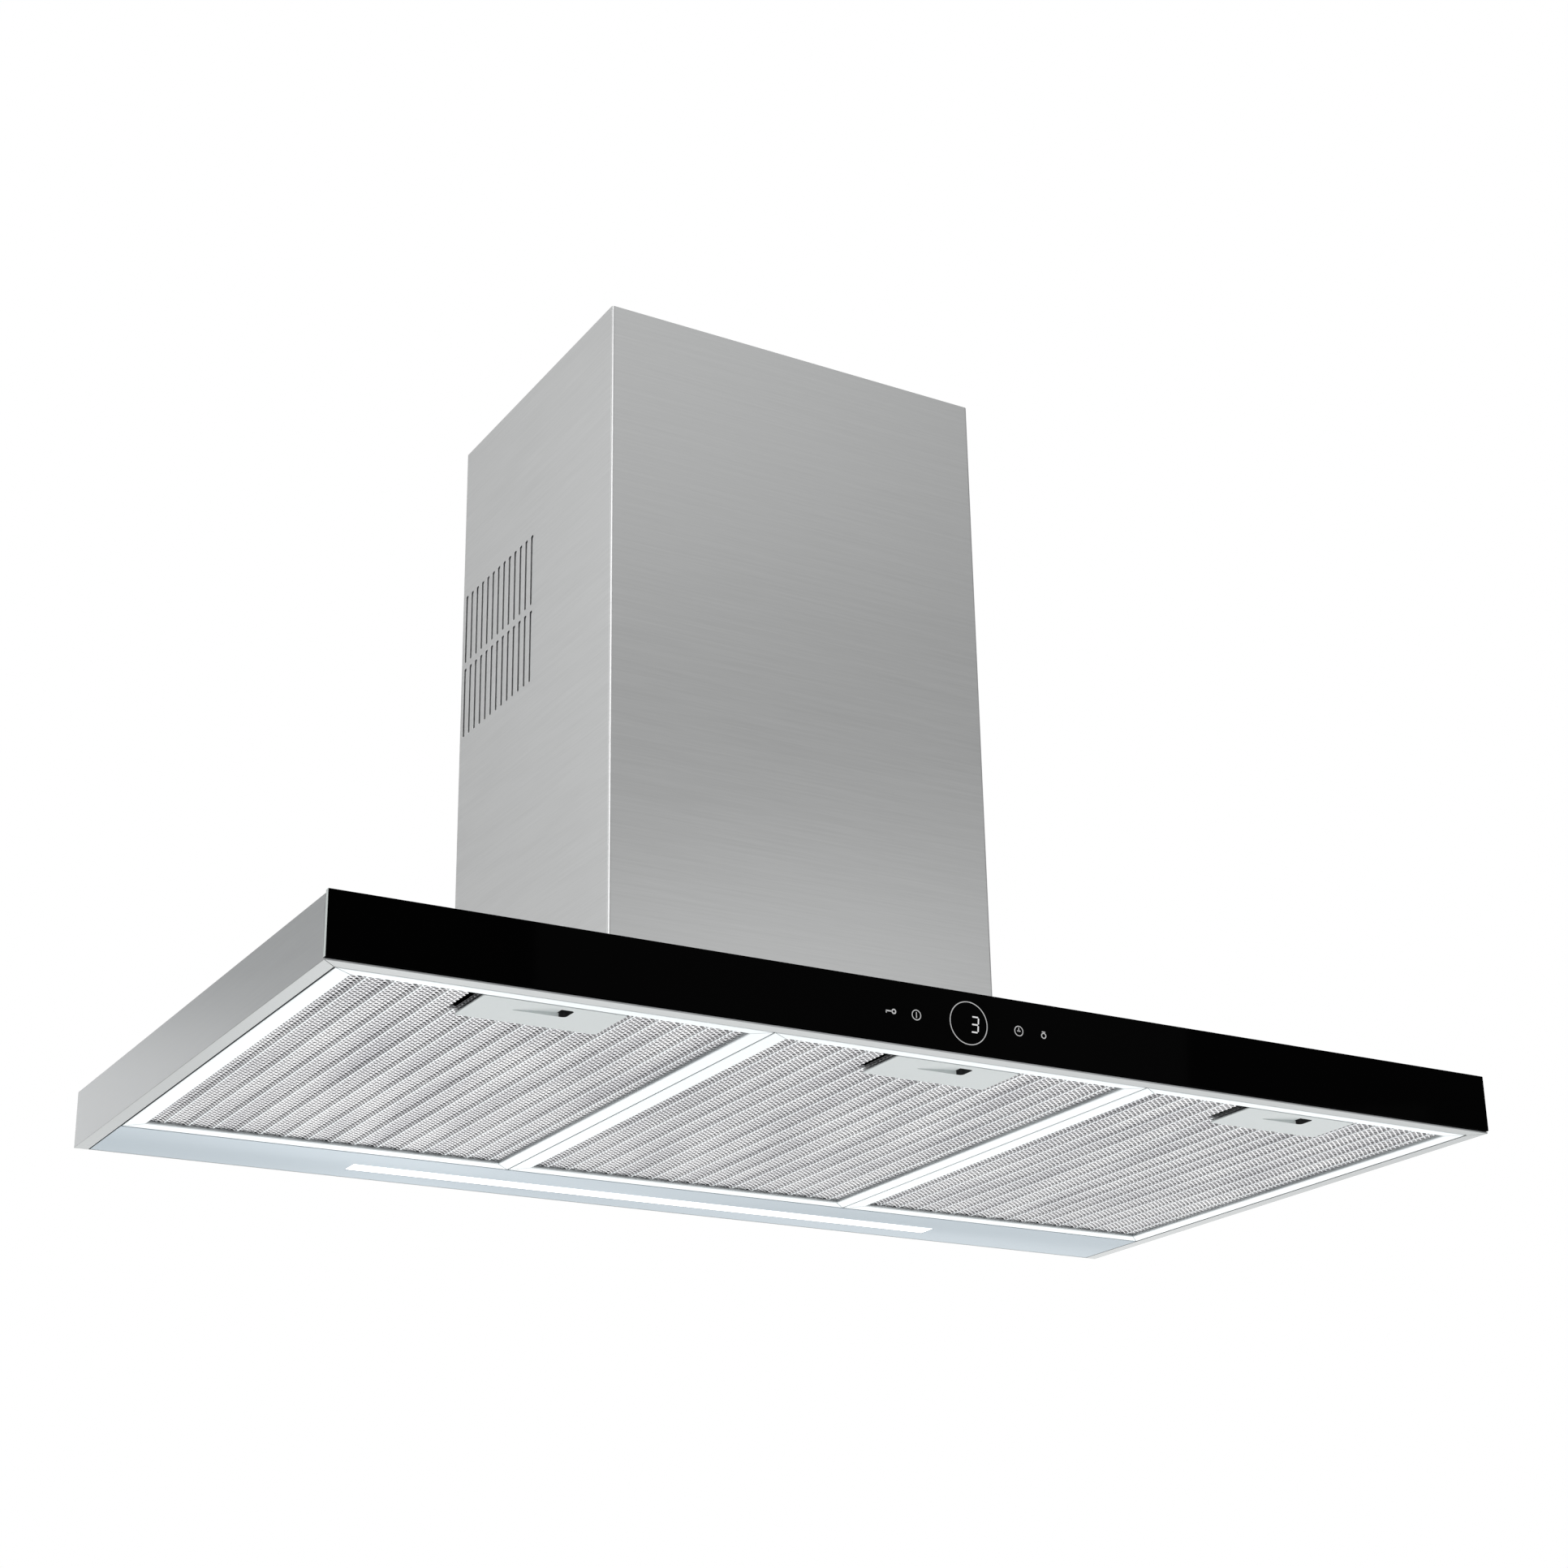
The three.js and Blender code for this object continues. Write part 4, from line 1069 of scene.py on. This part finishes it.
def duct_collar():
    """A round collar for a 150 mm duct, with a bead near its rim and a flat flange."""
    low, high = mm("outlet_collar")
    at = (low + high) / 2
    collar = rod("duct_collar", "z", 88, low.z, low.z + 2, at, 96)
    cut(collar, rod("wall", "z", 74.4, low.z + 1, high.z, at, 96), "UNION")
    bead = rod("bead", "z", 75, high.z - 12, high.z - 9, at, 96)
    cut(collar, bead, "UNION")
    cut(collar, rod("bore", "z", 72.6, low.z - 1, high.z + 1, at, 96))
    soften(collar, 0.4)
    for turn in range(8):
        angle = (turn + 0.5) * math.pi / 4
        spot = (at.x + 82 * math.cos(angle), at.y + 82 * math.sin(angle), 0)
        boss = soften(rod("boss", "z", 3, low.z + 1.5, low.z + 3.4, spot, 24), 0.8, 3)
        collar = join([collar, boss], "duct_collar")
    return hand_in(smooth(collar), "black_plastic", "hood", "outlet_collar")


def damper():
    """Two half-round flaps with ribs and knuckles that turn on the rod."""
    low, high = mm("damper_rod")
    at = (low + high) / 2
    bar = soften(rod("damper_pin", "x", 2, low.x, high.x, at, 32), 0.5)
    hand_in(smooth(bar), "spring_steel", "hood", "damper_rod")
    for side, sign in (("front", -1), ("rear", 1)):
        flap = rod("flap", "z", 70, at.z - 0.75, at.z + 0.75, at, 96)
        away = sorted((at.y + sign * 4, at.y - sign * 80))
        cut(flap, block("away", (-80, away[0], 0), (80, away[1], 400)))
        soften(flap, 0.3)
        parts = [flap]
        for x in (-42, -21, 0, 21, 42):
            reach = 62 if abs(x) < 5 else (56 if abs(x) < 30 else 44)
            ends = sorted((at.y + sign * 10, at.y + sign * reach))
            parts.append(soften(block("rib", (x - 0.7, ends[0], at.z + 0.6),
                                      (x + 0.7, ends[1], at.z + 2.2)), 0.4))
        for x in (-50, 50):
            shift = 6 * sign
            knuckle = rod("knuckle", "x", 3.6, x + shift - 5, x + shift + 5, at, 32)
            ends = sorted((at.y + sign * 1, at.y + sign * 5))
            cut(knuckle, block("arm", (x + shift - 5, ends[0], at.z - 0.75),
                               (x + shift + 5, ends[1], at.z + 0.75)), "UNION")
            cut(knuckle, rod("bore", "x", 2.3, x + shift - 6, x + shift + 6, at, 32))
            parts.append(soften(knuckle, 0.2))
        piece = smooth(join(parts, f"damper_plate_{side}"))
        hand_in(piece, "black_plastic", f"damper_{side}", f"damper_flap_{side}")


impeller()
shaft()
motor()
bell_mouths()
run_capacitor()
duct_collar()
damper()


# ---------------------------------------------------------------- springs

def springs():
    """Compression springs of 0.5 mm wire, drawn at one length; in the hood the latch's 8 mm of
    travel shortens them.
    """
    low, high = mm("latch_spring_2")
    wire = 0.25
    turns = 9
    put_down()
    bpy.ops.mesh.primitive_circle_add(
        vertices=8, radius=wire * MM, fill_type="NOTHING",
        location=(0.75 * MM, 0, 0), rotation=(math.pi / 2, 0, 0))
    coil = settle(bpy.context.object)
    length = high.y - low.y
    apply(coil, "SCREW", axis="Z", angle=2 * math.pi, iterations=turns, steps=14,
          render_steps=14, screw_offset=(length - 2 * wire) / turns * MM)
    pick_all(coil)
    bpy.ops.mesh.fill_holes(sides=0)
    put_down()
    coil.rotation_euler = (-math.pi / 2, 0, 0)
    coil.location = (0, (low.y + wire) * MM, (low.z + 1) * MM)
    outward(settle(coil))
    for number in (1, 2, 3):
        piece = copy(coil, f"latch_coil_{number}", ((number - 2) * PITCH, 0, 0))
        hand_in(smooth(piece, 60), "spring_steel", f"filter_{number}",
                f"latch_spring_{number}")
        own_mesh(piece)
    bpy.data.objects.remove(coil)


springs()


# ---------------------------------------------------------------- small fittings

def led_row():
    """LED packages 2.8 mm wide along the board, each a pale phosphor window."""
    low, high = mm("led_board")
    middle = (low.y + high.y) / 2
    chip = soften(block("led_packages", (low.x + 8, middle - 1.75, low.z - 0.75),
                        (low.x + 10.8, middle + 1.75, low.z - 0.02)), 0.15)
    repeat(chip, 36, (13.9, 0, 0))
    hand_in(chip, "lamp_aluminium", "hood")
    chip.data.materials[0] = speckled("yellow_led_phosphor", "e8dc9a", "f4ecc0", 900,
                                      (0.4, 0.5), IOR=1.5)


def lid_screws():
    """Four self-tapping screws with cross recesses in the power box's lid."""
    low, high = mm("power_box_lid")
    heads = []
    for x in (low.x + 8, high.x - 8):
        for y in (low.y + 12, high.y - 12):
            head = soften(rod("lid_screws", "z", 3.2, high.z - 0.3, high.z + 1.6,
                              (x, y, 0), 32), 0.8, 4)
            for dx, dy in ((1.8, 0.4), (0.4, 1.8)):
                cut(head, block("cross", (x - dx, y - dy, high.z + 0.6),
                                (x + dx, y + dy, high.z + 3)))
            heads.append(head)
    hand_in(smooth(join(heads, "lid_screws")), "zinc_screw", "hood")


def driver_terminals():
    """Two terminal blocks on the ends of the LED driver, each of three ways with a wire throat;
    their clamp screws are not drawn.
    """
    low, high = mm("led_driver")
    middle = (low.y + high.y) / 2
    parts = []
    for x in (low.x - 5, high.x - 1):
        for step in (-6, 0, 6):
            unit = soften(block("driver_terminals", (x, middle + step - 2.8, low.z + 1),
                                (x + 6, middle + step + 2.8, low.z + 9)), 0.5)
            cut(unit, rod("throat", "x", 1.5, x - 1, x + 7, (0, middle + step, low.z + 4), 20))
            parts.append(unit)
    hand_in(smooth(join(parts, "driver_terminals")), "black_plastic", "hood")


led_row()
lid_screws()
driver_terminals()


# ---------------------------------------------------------------- camera, light and floor

def studio():
    scene = bpy.context.scene
    scene.view_settings.view_transform = "Standard"
    lens = bpy.data.cameras.new("camera")
    lens.sensor_width = 36
    lens.lens = 62.39
    lens.shift_x = -0.0328
    lens.shift_y = 0.0269
    camera = bpy.data.objects.new("camera", lens)
    right = (0.8557, -0.5170, -0.0228)
    up = (-0.1661, -0.3161, 0.9341)
    back = (-0.4901, -0.7955, -0.3563)
    stand = Matrix((right, up, back)).transposed().to_4x4()
    stand.translation = (-0.9709, -1.6471, -0.4873)
    camera.matrix_world = stand
    scene.collection.objects.link(camera)
    scene.camera = camera

    world = bpy.data.worlds.new("studio")
    scene.world = world
    world.use_nodes = True
    tree = world.node_tree
    tree.nodes.clear()
    # The backdrop looks white, and lights the hood at less than half of that.
    seen = add(tree, "ShaderNodeLightPath").outputs["Is Camera Ray"]
    strength = add(tree, "ShaderNodeMapRange", {"Value": seen, "To Min": 0.46, "To Max": 1.0})
    backdrop = add(tree, "ShaderNodeBackground",
                   {"Color": linear("ffffff"), "Strength": strength.outputs[0]})
    add(tree, "ShaderNodeOutputWorld", {"Surface": backdrop.outputs[0]})

    bpy.ops.mesh.primitive_plane_add(size=30, location=(0, 0, -2.6))
    floor = bpy.context.object
    floor.name = "floor"
    paint = start("matt_white_floor", Base_Color="e8e8e8", Roughness=0.8)[0]
    floor.data.materials.append(paint)

    # Each has its place, what it points at, its side in metres and its power in watts.
    soft_boxes = [
        ("left_rear", (-3.4, 2.6, 1.8), (0, 0.1, 0.2), 3.0, 31),
        ("rear_low", (-1.3, 4.2, 0.6), (-0.4, 0, 0), 1.4, 12),
        ("under_left", (0.3, 2.6, -0.75), (-0.4, 0.1, 0), 1.0, 3.5),
        ("under_rear", (3.2, 3.4, -1.9), (0.1, 0, 0), 4.5, 60),
        ("left_front", (-3.0, -2.0, 1.6), (0, 0, 0.3), 2.6, 54),
        ("front_high", (1.3, -3.4, 3.4), (0, 0, 0.3), 2.4, 12),
        ("front_low", (2.6, -3.8, 0.2), (0, 0, 0.1), 1.8, 4),
        ("front_near", (0.95, -1.9, 0.5), (0, -0.1, 0.1), 0.9, 2.3),
    ]
    overhead = bpy.data.lights.new("overhead", "SUN")
    overhead.energy = 1.3
    overhead.angle = math.radians(40)
    scene.collection.objects.link(bpy.data.objects.new("overhead", overhead))
    for name, at, target, size, power in soft_boxes:
        lamp = bpy.data.lights.new(name, "AREA")
        lamp.size = size
        lamp.energy = power
        holder = bpy.data.objects.new(name, lamp)
        holder.location = at
        aim = Vector(target) - Vector(at)
        holder.rotation_euler = aim.to_track_quat("-Z", "Y").to_euler()
        holder.visible_camera = False
        scene.collection.objects.link(holder)


studio()
